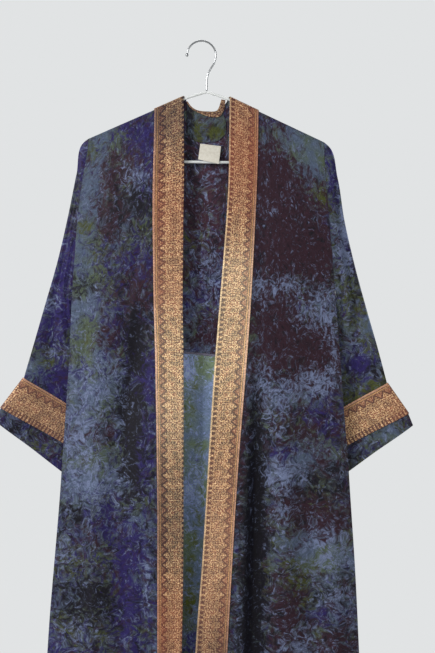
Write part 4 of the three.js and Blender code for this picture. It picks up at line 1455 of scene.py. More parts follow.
@dataclass(frozen=True)
class ZariBrocade:
    """Zari brocade woven with metallic thread: gold scrolls on red-brown, with glints painted into the colour
    as bright specks.

    u of the UV map runs across the band from its outer edge, and v along it, in metres. The field is a
    lattice of scrolls that mirrors about its middle and repeats, as a woven one does. Its threads are
    drawn 1.5 mm wide, and their specks 2 mm, which is coarser than real ones, so that they show.
    """

    name: str
    width_mm: float
    field_start_mm: float
    field_end_mm: float
    zigzag: bool = True
    repeat_mm: float = 17.0
    lattice_mm: float = 8.5
    hook_mm: float = 8.5
    edge_mm: float = 7.8
    scroll_mm: float = 1 / 0.24
    speck_mm: float = 1000 / 480
    wear_mm: float = 1000 / 70
    gold: str = "#D19E66"
    straw: str = "#F4D5A4"
    rust: str = "#8A4836"
    aubergine: str = "#341D26"
    pink: str = "#D9A88A"
    roughness: float = 0.42
    metallic: float = 0.3

    def stripe(self, tree: NodeTree, u: Any, start: float, end: float) -> NodeSocket:
        """Mask of a stripe between two places across, in millimetres.

        Args:
            tree: the node tree.
            u: place across the band.
            start: one edge.
            end: the other edge.

        Returns:
            A mask from 0 to 1.
        """
        edge = 0.35
        rise = add_node(tree, "MapRange", SMOOTH, (u, start - edge, start + edge))
        fall = add_node(tree, "MapRange", SMOOTH, (u, end - edge, end + edge))
        return add_node(tree, "Math", SUBTRACT, (rise, fall))

    def field(self, tree: NodeTree, u: Any, v: Any, speck: NodeSocket) -> NodeSocket:
        """Share of gold in the scroll field, from 0 to 1.

        Args:
            tree: the node tree.
            u: place across the band, in mm.
            v: place along it, in mm.
            speck: noise of the threads.

        Returns:
            The share.
        """
        middle = (self.field_start_mm + self.field_end_mm) / 2
        off_middle = add_node(tree, "Math", SUBTRACT, (u, middle))
        folded_u = add_node(tree, "Math", ABSOLUTE, (off_middle,))
        folded_v = add_node(tree, "Math", PINGPONG, (v, self.repeat_mm / 2))
        motif = add_node(tree, "CombineXYZ", inputs=(folded_u, folded_v, 0.0))
        scroll = add_node(tree, "TexNoise", inputs={
            "Vector": motif, "Scale": 1 / self.scroll_mm, "Detail": 2.0, "Roughness": 0.6, "Distortion": 2.4,
        })
        turns = 2 * math.pi / self.lattice_mm
        waves = []
        for way in (ADD, SUBTRACT):
            slanted = add_node(tree, "Math", way, (folded_u, folded_v))
            phase = add_node(tree, "Math", MULTIPLY, (slanted, turns))
            waves.append(add_node(tree, "Math", SINE, (phase,)))
        lattice = add_node(tree, "Math", MULTIPLY, waves)
        total = add_node(tree, "Math", MULTIPLY, (lattice, 0.4))
        total = add_node(tree, "Math", MULTIPLY_ADD, (scroll, 5.0, total))
        total = add_node(tree, "Math", MULTIPLY_ADD, (speck, 4.0, total))
        return add_node(tree, "MapRange", SMOOTH, (total, 4.0, 4.7))

    def zigzag_line(self, tree: NodeTree, u: Any, v: Any) -> tuple[Any, Any]:
        """Masks of the zigzag's triangles and of their dark outline.

        Args:
            tree: the node tree.
            u: place across the band, in mm.
            v: place along it, in mm.

        Returns:
            Both masks.
        """
        start, end, half = self.edge_mm, self.field_start_mm, self.repeat_mm / 2
        from_edge = add_node(tree, "Math", SUBTRACT, (u, start))
        run = add_node(tree, "Math", DIVIDE, (from_edge, end - start))
        folded = add_node(tree, "Math", PINGPONG, (v, half))
        peak = add_node(tree, "Math", DIVIDE, (folded, half))
        over = add_node(tree, "Math", SUBTRACT, (peak, run))
        strip = self.stripe(tree, u, start, end)
        filled = add_node(tree, "MapRange", SMOOTH, (over, -0.05, 0.05))
        inside = add_node(tree, "Math", MULTIPLY, (filled, strip))
        away = add_node(tree, "Math", ABSOLUTE, (over,))
        far = add_node(tree, "MapRange", SMOOTH, (away, 0.12, 0.28))
        near = add_node(tree, "Math", SUBTRACT, (1.0, far))
        line = add_node(tree, "Math", MULTIPLY, (near, strip))
        return inside, line

    def trims(self, tree: NodeTree, u: Any, v: Any) -> list[tuple[Any, float, str]]:
        """What is woven beside the field, from the lowest: each mask, its cover and its colour.

        Args:
            tree: the node tree.
            u: place across the band, in mm.
            v: place along it, in mm.

        Returns:
            A list of (mask, cover, colour).
        """
        trims = []
        if self.zigzag:
            inside, line = self.zigzag_line(tree, u, v)
            trims += [(inside, 0.55, self.rust), (line, 0.9, self.aubergine)]
        folded = add_node(tree, "Math", PINGPONG, (v, self.hook_mm / 2))
        teeth = add_node(tree, "MapRange", SMOOTH, (folded, self.hook_mm * 0.2, self.hook_mm * 0.3))
        strip = self.stripe(tree, u, self.field_end_mm, self.width_mm - 1.5)
        trims.append((add_node(tree, "Math", MULTIPLY, (teeth, strip)), 0.95, self.aubergine))
        stripes = (
            (-3.0, 3.0, self.pink, 0.9),
            (3.0, 4.2, self.aubergine, 0.8),
            (4.4, 6.2, self.gold, 0.9),
            (6.4, self.edge_mm, self.aubergine, 0.75),
            (self.width_mm - 1.4, self.width_mm + 3.0, self.straw, 0.75),
        )
        return trims + [(self.stripe(tree, u, low, high), cover, tint) for low, high, tint, cover in stripes]

    def drifted(self, tree: NodeTree, colour: NodeSocket) -> NodeSocket:
        """The band's colour where it is dyed over, worn or paler along its length.

        Args:
            tree: the node tree.
            colour: the colour so far.

        Returns:
            The new colour.
        """
        stored = add_node(tree, "Attribute", {"attribute_name": "dye"}, output="Vector")
        share = add_node(tree, "SeparateXYZ", inputs=(stored,)).node.outputs
        drifts = (("#AC5A3C", 0.5, 0.95), ("#402A34", 0.5, 0.74), ("#F0D8B8", 0.18, 1.36))
        for k, (towards, pull, value) in enumerate(drifts):
            pulled = add_node(tree, "Mix", COLOURS, {0: pull, 6: colour, 7: linear(towards)}, 2)
            toned = add_node(tree, "HueSaturation", inputs={"Value": value, "Color": pulled})
            colour = add_node(tree, "Mix", COLOURS, {0: share[k], 6: colour, 7: toned}, 2)
        return colour

    def dress(self) -> Material:
        """Makes the material.

        Returns:
            The new material.
        """
        material, tree = new_finish(self.name)
        cloth = add_node(tree, "UVMap", {"uv_map": "cloth"})
        flat = add_node(tree, "SeparateXYZ", inputs=(cloth,)).node.outputs
        u, v = (add_node(tree, "Math", MULTIPLY, (flat[k], 1 / MM)) for k in (0, 1))
        inputs = {"Vector": cloth, "Scale": grain_scale(self.speck_mm), "Detail": 2.0, "Roughness": 0.6}
        speck = add_node(tree, "TexNoise", inputs=inputs)
        inputs = {"Vector": cloth, "Scale": grain_scale(self.wear_mm), "Detail": 4.0, "Roughness": 0.65}
        worn = add_node(tree, "TexNoise", inputs=inputs)
        worn_share = add_node(tree, "MapRange", SMOOTH, (worn, 0.4, 0.62))
        inputs = {0: worn_share, 6: linear(self.rust), 7: linear(self.aubergine)}
        ground = add_node(tree, "Mix", COLOURS, inputs, 2)
        # pale straw specks in the gold: partly thread tone, partly painted glint
        bright = add_node(tree, "MapRange", SMOOTH, (speck, 0.46, 0.6))
        gold = add_node(tree, "Mix", COLOURS, {0: bright, 6: linear(self.gold), 7: linear(self.straw)}, 2)
        share = self.field(tree, u, v, speck)
        colour = add_node(tree, "Mix", COLOURS, {0: share, 6: ground, 7: gold}, 2)
        for mask, cover, tint in self.trims(tree, u, v):
            covered = add_node(tree, "Math", MULTIPLY, (mask, cover))
            colour = add_node(tree, "Mix", COLOURS, {0: covered, 6: colour, 7: linear(tint)}, 2)
        shade = add_node(tree, "MapRange", inputs=(worn, 0.36, 0.62, 1.14, 0.74))
        colour = add_node(tree, "HueSaturation", inputs={"Value": shade, "Color": colour})
        dark_specks = add_node(tree, "MapRange", SMOOTH, (speck, 0.56, 0.64))
        most_worn = add_node(tree, "Math", MULTIPLY, (worn_share, 0.7))
        flecks = add_node(tree, "Math", MULTIPLY, (dark_specks, most_worn))
        colour = add_node(tree, "Mix", COLOURS, {0: flecks, 6: colour, 7: linear(self.aubergine)}, 2)
        colour = self.drifted(tree, colour)
        # painted highlight: speck noise sets brightness from 0.5 to 1.5, giving dark thread specks and
        # painted glints
        speck_tone_and_glint = add_node(tree, "MapRange", inputs=(speck, 0.34, 0.66, 0.5, 1.5))
        colour = add_node(tree, "HueSaturation", inputs={"Value": speck_tone_and_glint, "Color": colour})
        height = add_node(tree, "Math", MULTIPLY_ADD, (speck, 1.5, share))
        bump = add_node(tree, "Bump", inputs={"Strength": 0.5, "Distance": 0.0005, "Height": height})
        metal = add_node(tree, "Math", MULTIPLY, (share, self.metallic))
        low, high = self.roughness + 0.12, self.roughness - 0.08
        rough = add_node(tree, "MapRange", inputs=(speck, 0.3, 0.7, low, high))
        coat_with(tree, {
            "Base Color": colour, "Metallic": metal, "Roughness": rough, "Normal": bump,
            "Sheen Weight": 0.05, "Specular IOR Level": 0.4,
        })
        return material


@dataclass(frozen=True)
class PlainWeave:
    """Plain woven stuff in one colour, such as tape, thread or a label: matt, with crossing threads.

    Its unevenness is 4 mm wide. The threads are drawn coarser than real ones, so that they show.
    """

    name: str
    colour: str
    shade: str
    thread_mm: float = 0.9
    roughness: float = 0.6
    uneven_mm: float = 1000 / 240

    def dress(self) -> Material:
        """Makes the material.

        Returns:
            The new material.
        """
        material, tree = new_finish(self.name)
        cloth = add_node(tree, "UVMap", {"uv_map": "cloth"})
        weave = crossed_threads(tree, cloth, self.thread_mm)
        inputs = {"Vector": cloth, "Scale": grain_scale(self.uneven_mm), "Detail": 4.0}
        uneven = add_node(tree, "TexNoise", inputs=inputs)
        total = add_node(tree, "Math", MULTIPLY_ADD, (weave, 0.12, uneven))
        share = add_node(tree, "MapRange", inputs=(total, 0.3, 0.75))
        tone = add_node(tree, "Mix", COLOURS, {0: share, 6: linear(self.shade), 7: linear(self.colour)}, 2)
        bump = add_node(tree, "Bump", inputs={"Strength": 0.4, "Distance": 0.0003, "Height": weave})
        coat_with(tree, {
            "Base Color": tone, "Roughness": self.roughness, "Normal": bump, "Sheen Weight": 0.15,
        })
        return material


@dataclass(frozen=True)
class ChromedSteel:
    """Chromed steel wire, bent and polished: mirror-bright, with faint draw marks 1.1 mm apart."""

    name: str = "chromed_steel_wire"
    colour: str = "#B9BBBD"
    shade: str = "#8F9194"
    roughness: float = 0.16
    mark_mm: float = 1000 / 900

    def dress(self) -> Material:
        """Makes the material.

        Returns:
            The new material.
        """
        material, tree = new_finish(self.name)
        where = add_node(tree, "TexCoord", output="Object")
        inputs = {"Vector": where, "Scale": grain_scale(self.mark_mm), "Detail": 3.0}
        marks = add_node(tree, "TexNoise", inputs=inputs)
        low, high = self.roughness - 0.05, self.roughness + 0.1
        rough = add_node(tree, "MapRange", inputs=(marks, 0.3, 0.7, low, high))
        marked = add_node(tree, "MapRange", SMOOTH, (marks, 0.5, 0.75))
        tone = add_node(tree, "Mix", COLOURS, {0: marked, 6: linear(self.colour), 7: linear(self.shade)}, 2)
        coat_with(tree, {"Base Color": tone, "Metallic": 1.0, "Roughness": rough})
        return material


@dataclass(frozen=True)
class WhiteLacquer:
    """White lacquer on wire, dipped: smooth and satin, uneven over 6 mm as a dipped coat is."""

    name: str = "white_lacquered_wire"
    colour: str = "#F1F3F1"
    shade: str = "#DDE0DE"
    roughness: float = 0.34
    uneven_mm: float = 1000 / 160

    def dress(self) -> Material:
        """Makes the material.

        Returns:
            The new material.
        """
        material, tree = new_finish(self.name)
        where = add_node(tree, "TexCoord", output="Object")
        inputs = {"Vector": where, "Scale": grain_scale(self.uneven_mm), "Detail": 4.0}
        uneven = add_node(tree, "TexNoise", inputs=inputs)
        share = add_node(tree, "MapRange", SMOOTH, (uneven, 0.45, 0.75))
        tone = add_node(tree, "Mix", COLOURS, {0: share, 6: linear(self.colour), 7: linear(self.shade)}, 2)
        bump = add_node(tree, "Bump", inputs={"Strength": 0.15, "Distance": 0.0002, "Height": uneven})
        coat_with(tree, {
            "Base Color": tone, "Roughness": self.roughness, "Normal": bump, "Coat Weight": 0.3,
            "Coat Roughness": 0.15,
        })
        return material


# ---- the garment's pieces
@dataclass
class Fronts:
    """Both fronts and the brocade bands on them."""

    cut: BodyCut
    silk: Material
    brocade: Material
    panel_strips: int = 38
    uv_step: float = 2.0

    @property
    def band_strips(self) -> Array:
        """Places across a band, closer at its edges."""
        edge = np.array([0.006, 0.02, 0.05])
        return np.concatenate([[0], edge, np.linspace(0.1, 0.9, 11), 1 - edge[::-1], [1]])

    @property
    def strips(self) -> Array:
        """Places across a front, from the side edge over the band's outer edge to the opening."""
        return np.concatenate([np.linspace(0, 1, self.panel_strips, endpoint=False), 1 + self.band_strips])

    def band_tints(self, side: Side, grid: Array) -> Array:
        """How far a band is copper, dark or pale along its length.

        Args:
            side: the wearer's side.
            grid: the band's points.

        Returns:
            Five shares for each point.
        """
        drop = -grid[..., 2]
        if side is Side.R:
            copper = bump_sum(drop, ((300, 110, 0.7), (436, 40, 0.45), (1010, 90, 0.8)))
            dark = bump_sum(drop, ((130, 70, 1.0), (770, 120, 0.5), (850, 60, 0.4), (1090, 60, 0.3)))
            pale = bump_sum(drop, ((560, 150, 0.6), (650, 60, 0.3)))
        else:
            copper = bump_sum(drop, ((200, 130, 1.0), (800, 130, 0.5), (1000, 110, 0.5)))
            dark = bump_sum(drop, ((110, 40, 0.3), (1080, 90, 0.7), (1230, 90, 0.5)))
            pale = bump_sum(drop, ((520, 130, 0.9), (400, 50, 0.7), (850, 160, 0.4)))
        return np.stack([copper, dark, pale, drop * 0, drop * 0], -1)

    def build(self) -> None:
        """Makes both fronts and both bands."""
        thickness = BROCADE * np.array([0.3, 0.7, 0.95, *[1.0] * 13, 0.95, 0.7, 0.3])
        strips = self.strips
        for side, blots in ((Side.R, FRONT_R_BLOTS), (Side.L, FRONT_L_BLOTS)):
            name = side.name.lower()
            grid = self.cut.front(side, strips)
            inward = -side.value * SEAM_GAP / 2
            grid[: self.cut.underarm_row + 1, 0, 0] += inward
            panel = Shell(f"silk_front_{name}", grid, SILK, (0, -1, 0))
            bath = DyeBath(blots) if side is Side.R else DyeBath(blots, (0.32, 0.5, 0.28, 0.36, 0.14))
            offset = self.uv_step * side.value
            uv, dyes = panel.cloth_uv(offset), bath.strengths(grid)
            hang(panel, uv, dyes, Slot.SILK, self.silk, f"hanger_arm_{name}", f"front_{name}")
            lifted = panel.moved_out(LAYER_STEP)[:, self.panel_strips :]
            band = Shell(f"brocade_front_band_{name}", lifted, thickness, (0, -1, 0))
            uv, tints = band.cloth_uv(0.0), self.band_tints(side, lifted)
            hang(band, uv, tints, Slot.BROCADE, self.brocade, f"silk_front_{name}", f"front_band_{name}")


def bump_sum(value: Array, bumps: Sequence[tuple[float, float, float]]) -> Array:
    """Sum of soft bumps, each with its middle, half width and height, at most 1."""
    total = sum(height * hump(value, middle, half) for middle, half, height in bumps)
    return np.clip(total, 0, 1)


@dataclass
class Back:
    """The back above and below its cross seam, and the tape that binds the seam inside."""

    cut: BodyCut
    silk: Material
    tape: Material
    tape_height: float = 3.4
    tape_off: float = 1.0
    tape_lift: float = 0.4
    cord_bulge: float = 0.5

    def build(self) -> None:
        """Makes the three pieces."""
        rows = len(self.cut.levels) + self.cut.wrap_rows
        upper = self.cut.back(0, self.cut.waist_row)
        upper[: self.cut.underarm_row + 1, 0, 0] += SEAM_GAP / 2
        upper[: self.cut.underarm_row + 1, -1, 0] -= SEAM_GAP / 2
        upper[-1, :, 2] += SEAM_GAP / 2
        lower = self.cut.back(self.cut.waist_row, rows - 1)
        lower[0, :, 2] -= SEAM_GAP / 2
        # The fifth number of each part is its inside's share of painted light; the lower back's 4.0 lightens
        # its inside, seen between the fronts, as light shining through the sheer silk would.
        parts = (
            ("upper", upper, (0.4, 0.5, 0.28, 0.4, 0.14), 5.0, 1.0, "hanger_arm_r"),
            ("lower", lower, (0.22, 0.2, 0.46, 0.18, 0.2), 8.0, 4.0, "silk_back_upper"),
        )
        for name, grid, base, offset, inside, carrier in parts:
            panel = Shell(f"silk_back_{name}", grid, SILK, (0, 1, 0), inside=inside)
            dyes = DyeBath(BACK_BLOTS, base).strengths(grid)
            hang(panel, panel.cloth_uv(offset), dyes, Slot.SILK, self.silk, carrier, f"back_{name}")
        self.build_tape(lower[0])

    def build_tape(self, seam: Array) -> None:
        """Makes the bound edge along the seam, inside, with two cords in it.

        Args:
            seam: points of the lower back's top row.
        """
        profile = np.linspace(0, 1, 9)
        bulge = self.cord_bulge * np.abs(np.sin(2 * np.pi * profile))
        grid = []
        for share, out in zip(profile, bulge):
            row = seam.copy()
            row[:, 2] -= self.tape_height * share - self.tape_lift
            row[:, 1] -= self.tape_off + out
            grid.append(row)
        tape = Shell("silk_seam_tape", np.array(grid), 0.5, (0, -1, 0))
        register(tape.build(tape.cloth_uv(11.0)), Slot.SILK, self.tape)


@dataclass
class NeckFinish:
    """Neck band, its edge turned over inside, the facing and the bare label."""

    cut: BodyCut
    silk: Material
    brocade: Material
    label: Material
    thread: Material
    strips: int = 24
    steps: int = 8
    band_room: float = 0.7
    facing_half: float = 34
    facing_down: float = 53
    facing_left_top: float = 27.5
    facing_flare: float = 40
    facing_rows: int = 22
    facing_columns: int = 34
    stitch_length: float = 2
    stitch_spacing: float = 3.2

    def build(self) -> None:
        """Makes the four pieces and the label's stitches."""
        self.build_band()
        self.build_turned_edge()
        self.build_facing()
        self.build_label()

    def band_grid(self) -> Array:
        """Grid of the neck band on the outside of the back, from the right neck point to the left.

        Returns:
            Points of shape (rows, strips, 3).
        """
        clear = LAYER_STEP + self.band_room
        wrap_cuts = 3
        t = np.linspace(0, 1, self.strips + 1)
        cut_strips = 3
        rows = []
        halves = [(k, cut, -1) for k, cut in enumerate(NECK_CUTS)]
        halves += [(k, cut, 1) for k, cut in reversed(list(enumerate(NECK_CUTS[:-1])))]
        for k, cut, sign in halves:
            x = sign * mix(cut.top_x, cut.low_x, t)
            if k < wrap_cuts:
                down = self.cut.wrap_length * k / (wrap_cuts - 1) * np.minimum(1, t * cut_strips)
            else:
                top = -self.cut.back_point(cut.top_x, 0.0)[..., 2]
                down = np.maximum(0, mix(top, cut.low_drop, t) + self.cut.back_point(x, 0.0)[..., 2])
            row = self.cut.off_back(x, down, clear)
            if k == 0:
                row[:, 1] = SEAM_GAP / 2
            rows.append(row)
        return through(np.array(rows), self.steps)

    def build_band(self) -> None:
        """Makes the neck band."""
        grid = self.band_grid()
        band = Shell("brocade_neck_band", grid, BROCADE, (0, 1, 0))
        uv = band.cloth_uv(0.0)
        uv[..., 0] = 52 * MM - uv[..., 0]
        drop = -grid[..., 2]
        tints = np.stack([0.4 + drop * 0, 0.25 + drop * 0, drop * 0, drop * 0, drop * 0], -1)
        hang(band, uv, tints, Slot.BROCADE, self.brocade, "silk_back_upper", "neck_band")

    def build_turned_edge(self) -> None:
        """Makes the band's edge that is turned over inside the back of the neck."""
        path = (
            (-34, 104, 2.0), (-28, 112.5, 2.4), (-18, 119.5, 3.0), (-8, 122.5, 5.0), (2, 124.5, 8.0),
            (12, 125.2, 9.5), (20, 124, 10.5), (25, 117, 9.5), (27.5, 108, 8.5), (29, 100, 7.0),
        )
        middle = through(np.array([[(x, drop, width)] for x, drop, width in path], float), 6)[:, 0]
        along = np.gradient(middle[:, :2], axis=0)
        along /= np.linalg.norm(along, axis=1, keepdims=True)
        side = np.stack([-along[:, 1], along[:, 0]], -1)
        teeth = 0.6 * np.abs(np.sin(np.arange(len(middle)) * 1.3))
        grid = []
        for share in np.linspace(-0.5, 0.5, 7):
            offset = side * (middle[:, 2:] + (teeth[:, None] if share > 0 else 0)) * share
            x, drop = middle[:, 0] + offset[:, 0], middle[:, 1] + offset[:, 1]
            y = self.cut.depth(Face.BACK, x, np.maximum(drop, 104)) - 3.1 - 0.5 * (0.25 - share**2)
            grid.append(points(x, y, drop))
        strip = Shell("brocade_neck_turned_edge", np.array(grid), 0.7, (0, -1, 0))
        uv = strip.cloth_uv(0.0)[..., ::-1] + (0.024, 0)
        tints = np.zeros(strip.grid.shape[:2] + (5,)) + (0.3, 0.8, 0, 0, 0)
        register(strip.build(uv, tints), Slot.BROCADE, self.brocade)

    def build_facing(self) -> None:
        """Makes the facing, whose left edge curves out as it falls."""
        columns = self.facing_columns
        grid = []
        for down in np.linspace(1, self.facing_down, self.facing_rows):
            left = mix(self.facing_left_top, self.facing_half, ease(0, self.facing_flare, np.array(down)))
            x = np.linspace(-self.facing_half, left, columns)
            grid.append(self.cut.off_back(x, np.full(columns, down), -LAYER_STEP))
        facing = Shell("silk_neck_facing", np.array(grid), SILK, (0, -1, 0))
        bath = DyeBath(FACING_BLOTS, (0.3, 0.36, 0.44, 0.4, 0.0))
        uv, dyes = facing.cloth_uv(14.0), bath.strengths(facing.grid)
        hang(facing, uv, dyes, Slot.FACING, self.silk, "silk_back_upper", "neck_facing")

    def build_label(self) -> None:
        """Makes the bare label, which swings forward over the hanger's bar, and its stitches."""
        top_left, top_right = np.array([-10, 176, 4.6]), np.array([26, 180, 4.6])
        low_left, low_right = np.array([-13.2, 204.6, -3.6]), np.array([22.6, 212, -4.2])
        u, v = np.meshgrid(np.linspace(0, 1, 19), np.linspace(0, 1, 17))
        bend = ease(0, 0.85, v)
        top, low = mix(top_left, top_right, u[..., None]), mix(low_left, low_right, u[..., None])
        flat = mix(top, low, v[..., None])
        y = mix(top[..., 2], low[..., 2], bend) - 0.5 * np.sin(math.pi * u) * v
        grid = points(flat[..., 0], y, flat[..., 1])
        label = Shell("satin_neck_label", grid, 0.45, (0, -1, 0))
        hang(label, label.cloth_uv(17.0), None, Slot.LABEL, self.label, "silk_neck_facing", "neck_label")
        self.build_stitches(label)

    def build_stitches(self, label: Shell) -> None:
        """Makes the row of stitches along the label's top, joined in one mesh.

        Args:
            label: the shell of the label.
        """
        row = label.grid[1] + label.normals()[1] * 0.35
        length = lengths(row[None], 1)[0]
        swell = ((0.0, 0.08), (0.2, 0.26), (0.5, 0.32), (0.8, 0.26), (1.0, 0.08))
        sides = 6
        vertices, faces = [], []
        for start in np.arange(1.5, length[-1] - 2.5, self.stitch_spacing):
            stops = (start, start + self.stitch_length)
            ends = [np.array([np.interp(stop, length, row[:, k]) for k in range(3)]) for stop in stops]
            along = (ends[1] - ends[0]) / np.linalg.norm(ends[1] - ends[0])
            out = np.array([0, -1, 0])
            up = np.cross(along, out)
            faces += tube_faces(len(swell), sides, len(vertices))
            for t, size in swell:
                middle = mix(ends[0], ends[1], t)
                for turn in np.linspace(0, 2 * math.pi, sides, endpoint=False):
                    vertices.append(middle + size * (math.cos(turn) * up + math.sin(turn) * out))
        mesh = mesh_of("label_stitches", np.array(vertices), faces)
        mesh.uv_layers.new(name="cloth")
        register(place("label_stitches", mesh), Slot.LABEL, self.thread)


@dataclass
class Sleeves:
    """Both sleeves, each a flat tube that falls behind the body, and the brocade bands at the cuffs."""

    cut: BodyCut
    silk: Material
    brocade: Material
    turn: float = 0.42
    fullness: float = 0.55
    groove_centre: float = 0.2
    groove_width: float = 0.13
    groove_depth: float = 4
    groove_cuts: tuple[int, int] = (1, 6)
    cuff_top: int = 7
    cuff_end: int = 8
    steps: int = 14
    band_steps: int = 17
    hem_steps: int = 8

    def rings(self, side: Side) -> Array:
        """Rings of a sleeve at its cuts, each from the outer fold down the front and up the back.

        Args:
            side: the wearer's side.

        Returns:
            Points of shape (rings, columns, 3).
        """
        sign = side.value
        edge = self.cut.front(side, np.array([0.0]))[: self.cut.underarm_row + 1, 0]
        share = (edge[0, 2] - edge[:, 2]) / (edge[0, 2] - edge[-1, 2])
        order = [*range(len(edge)), *range(len(edge) - 2, 0, -1)]
        face = np.array([-1] * len(edge) + [1] * (len(edge) - 2))
        closed = np.array([k in (0, len(edge) - 1) for k in order])
        armhole = edge[order].copy()
        armhole[:, 0] += sign * SEAM_GAP / 2
        armhole[:, 1] = np.where(closed, 0, face * np.abs(armhole[:, 1]))
        u = share[order]
        rings = [armhole]
        for k, cut in enumerate(SLEEVE_CUTS):
            lean, in_lean = (cut.lean, cut.in_lean) if side is Side.L else (0, 0)
            out, inner = sign * cut.out + lean, sign * cut.inner + in_lean
            middle = mix(cut.out_y, cut.in_y, u if k == 0 else ease(0, self.turn, u))
            hollow = cut.half * np.clip(np.sin(np.pi * u), 0, 1) ** self.fullness
            dent = self.groove_depth * hump(u, self.groove_centre, self.groove_width)
            grooved = self.groove_cuts[0] <= k <= self.groove_cuts[1]
            groove = np.where(face < 0, dent, 0) * grooved
            y = middle + face * hollow + groove
            rings.append(points(mix(out, inner, u), y, mix(cut.out_drop, cut.in_drop, u)))
        return np.array(rings)

    def grid(self, side: Side) -> Array:
        """Fine rings of a sleeve, with its creases.

        Args:
            side: the wearer's side.

        Returns:
            Points of shape (rings, columns, 3).
        """
        rings = self.rings(side)
        upper = through(rings[: self.cuff_top + 1], self.steps)
        top, end = rings[self.cuff_top], rings[self.cuff_end]
        lower = [mix(top, end, t) for t in np.linspace(0, 1, self.band_steps + 1)[1:]]
        hem = [mix(end, rings[-1], t) for t in np.linspace(0, 1, self.hem_steps + 1)[1:]]
        grid = np.concatenate([upper, lower, hem])
        return grid + self.crease(grid)

    @property
    def cuff_rows(self) -> tuple[int, int]:
        """First and last ring of the cuff band."""
        first = self.cuff_top * self.steps
        return first, first + self.band_steps

    def crease(self, grid: Array) -> Array:
        """How far each point is moved by the creases along the sleeve.

        Args:
            grid: the sleeve's points.

        Returns:
            A vector for each point.
        """
        count = self.cut.underarm_row + 1
        columns = grid.shape[1]
        place_around = np.minimum(np.arange(columns), columns - np.arange(columns)) / (count - 1)
        front = np.where(np.arange(columns) < count, 1.0, -1.0)
        t = np.arange(len(grid))[:, None] / self.steps
        total = np.zeros(grid.shape[:2])
        for crease in SLEEVE_CREASES:
            run = np.clip((t - crease.t0) / (crease.t1 - crease.t0), 0, 1)
            centre = mix(crease.around0, crease.around1, run)
            total += crease.depth * np.sin(np.pi * run) * hump(place_around[None], centre, crease.width)
        move = np.zeros_like(grid)
        move[..., 1] = total * front
        return move

    def build(self) -> None:
        """Makes both sleeves and both cuff bands."""
        parts = (
            (Side.R, SLEEVE_R_BLOTS, (0.52, 0.3, 0.3, 0.34, 0.12), -4.0),
            (Side.L, SLEEVE_L_BLOTS, (0.34, 0.26, 0.4, 0.34, 0.14), 20.0),
        )
        for side, blots, base, offset in parts:
            name = side.name.lower()
            sleeve = Shell(f"silk_sleeve_{name}", self.grid(side), SILK, None, True)
            dyes = DyeBath(blots, base).strengths(sleeve.grid)
            uv = np.stack([sleeve.grid[..., 0] * MM + offset, -sleeve.grid[..., 2] * MM], -1)
            nodes = [f"sleeve_front_{name}", f"sleeve_back_{name}", f"sleeve_hem_{name}"]
            hang(sleeve, uv, dyes, Slot.SILK, self.silk, f"silk_front_{name}", *nodes)
            first, last = self.cuff_rows
            lifted = sleeve.moved_out(LAYER_STEP)[first : last + 1]
            cuff = Shell(f"brocade_cuff_{name}", lifted, BROCADE, None, True)
            uv = cuff.cloth_uv(0.0)[..., ::-1]
            x = np.abs(cuff.grid[..., 0])
            copper = 0.35 + 0.5 * ease(300, 360, x) if side is Side.L else 0.5 + 0 * x
            dark = 0 * x if side is Side.L else 0.5 - 0.2 * ease(250, 330, x)
            tints = np.stack([copper, dark, 0.15 + 0 * x, 0 * x, 0 * x], -1)
            hang(cuff, uv, tints, Slot.BROCADE, self.brocade, f"silk_sleeve_{name}", f"cuff_band_{name}")


@dataclass
class Hanger:
    """Chromed hook, two lacquered arms and the bar."""

    cut: BodyCut
    chrome: Material
    lacquer: Material
    wire: float = 1.6
    bend: float = 25
    tip_ball: float = 2.8
    bar_radius: float = 2.4
    bar_drop: float = 208.6
    bar_half: float = 189.7
    stem_end_drop: float = 85.5

    def fine(self, places: Sequence[Sequence[float]], steps: int) -> Array:
        """A smooth path through places [x, drop]."""
        return through(np.array([[p] for p in places], float), steps)[:, 0]

    def build(self) -> None:
        """Makes the four pieces."""
        self.build_hook()
        places = (12, 20, 28, 35, 40, 75, 110, 150, 184)
        neck = [(x, float(self.cut.wire_drop(np.array(float(x))))) for x in places]
        end = [(193, 171), (197.6, 178), (199, 187), (198.8, 198), (197, 205), (193, 208.6), (190, 208.6)]
        half = [(SEAM_GAP / 2 + ARM_RADIUS, self.cut.apex_drop), (4.5, self.cut.apex_drop + 0.2), *neck, *end]
        for side in Side:
            path = self.fine([(side.value * x, drop) for x, drop in half], 8)
            name = side.name.lower()
            made = Rod(path, ARM_RADIUS).build(f"lacquered_arm_{name}")
            register(made, Slot.LACQUER, self.lacquer, f"hanger_arm_{name}")
        reach = self.bar_half - 2
        path = np.array([[x, self.bar_drop] for x in np.linspace(-reach, reach, 24)])
        register(Rod(path, self.bar_radius).build("lacquered_bar"), Slot.LACQUER, self.lacquer, "hanger_bar")

    def build_hook(self) -> None:
        """Makes the hook, whose tip swells to a ball."""
        middle = self.bend - self.wire
        arc = [math.pi * (1 - k / 8) for k in range(9)]
        places = [(-GARMENT_X + self.bend * math.cos(a), middle - self.bend * math.sin(a)) for a in arc]
        places += [(12.5, 36), (5.5, 48), (0.8, 60), (0, 72), (0, self.stem_end_drop - 1.6)]
        path = self.fine(places, 10)
        along = np.concatenate([[0], np.cumsum(np.linalg.norm(np.diff(path, axis=0), axis=1))])
        ball = np.sqrt(np.clip(self.tip_ball**2 - along**2, 0, None))
        radius = np.maximum(self.wire, ball)
        register(Rod(path, radius, 24).build("chromed_hook"), Slot.CHROME, self.chrome, "hook")


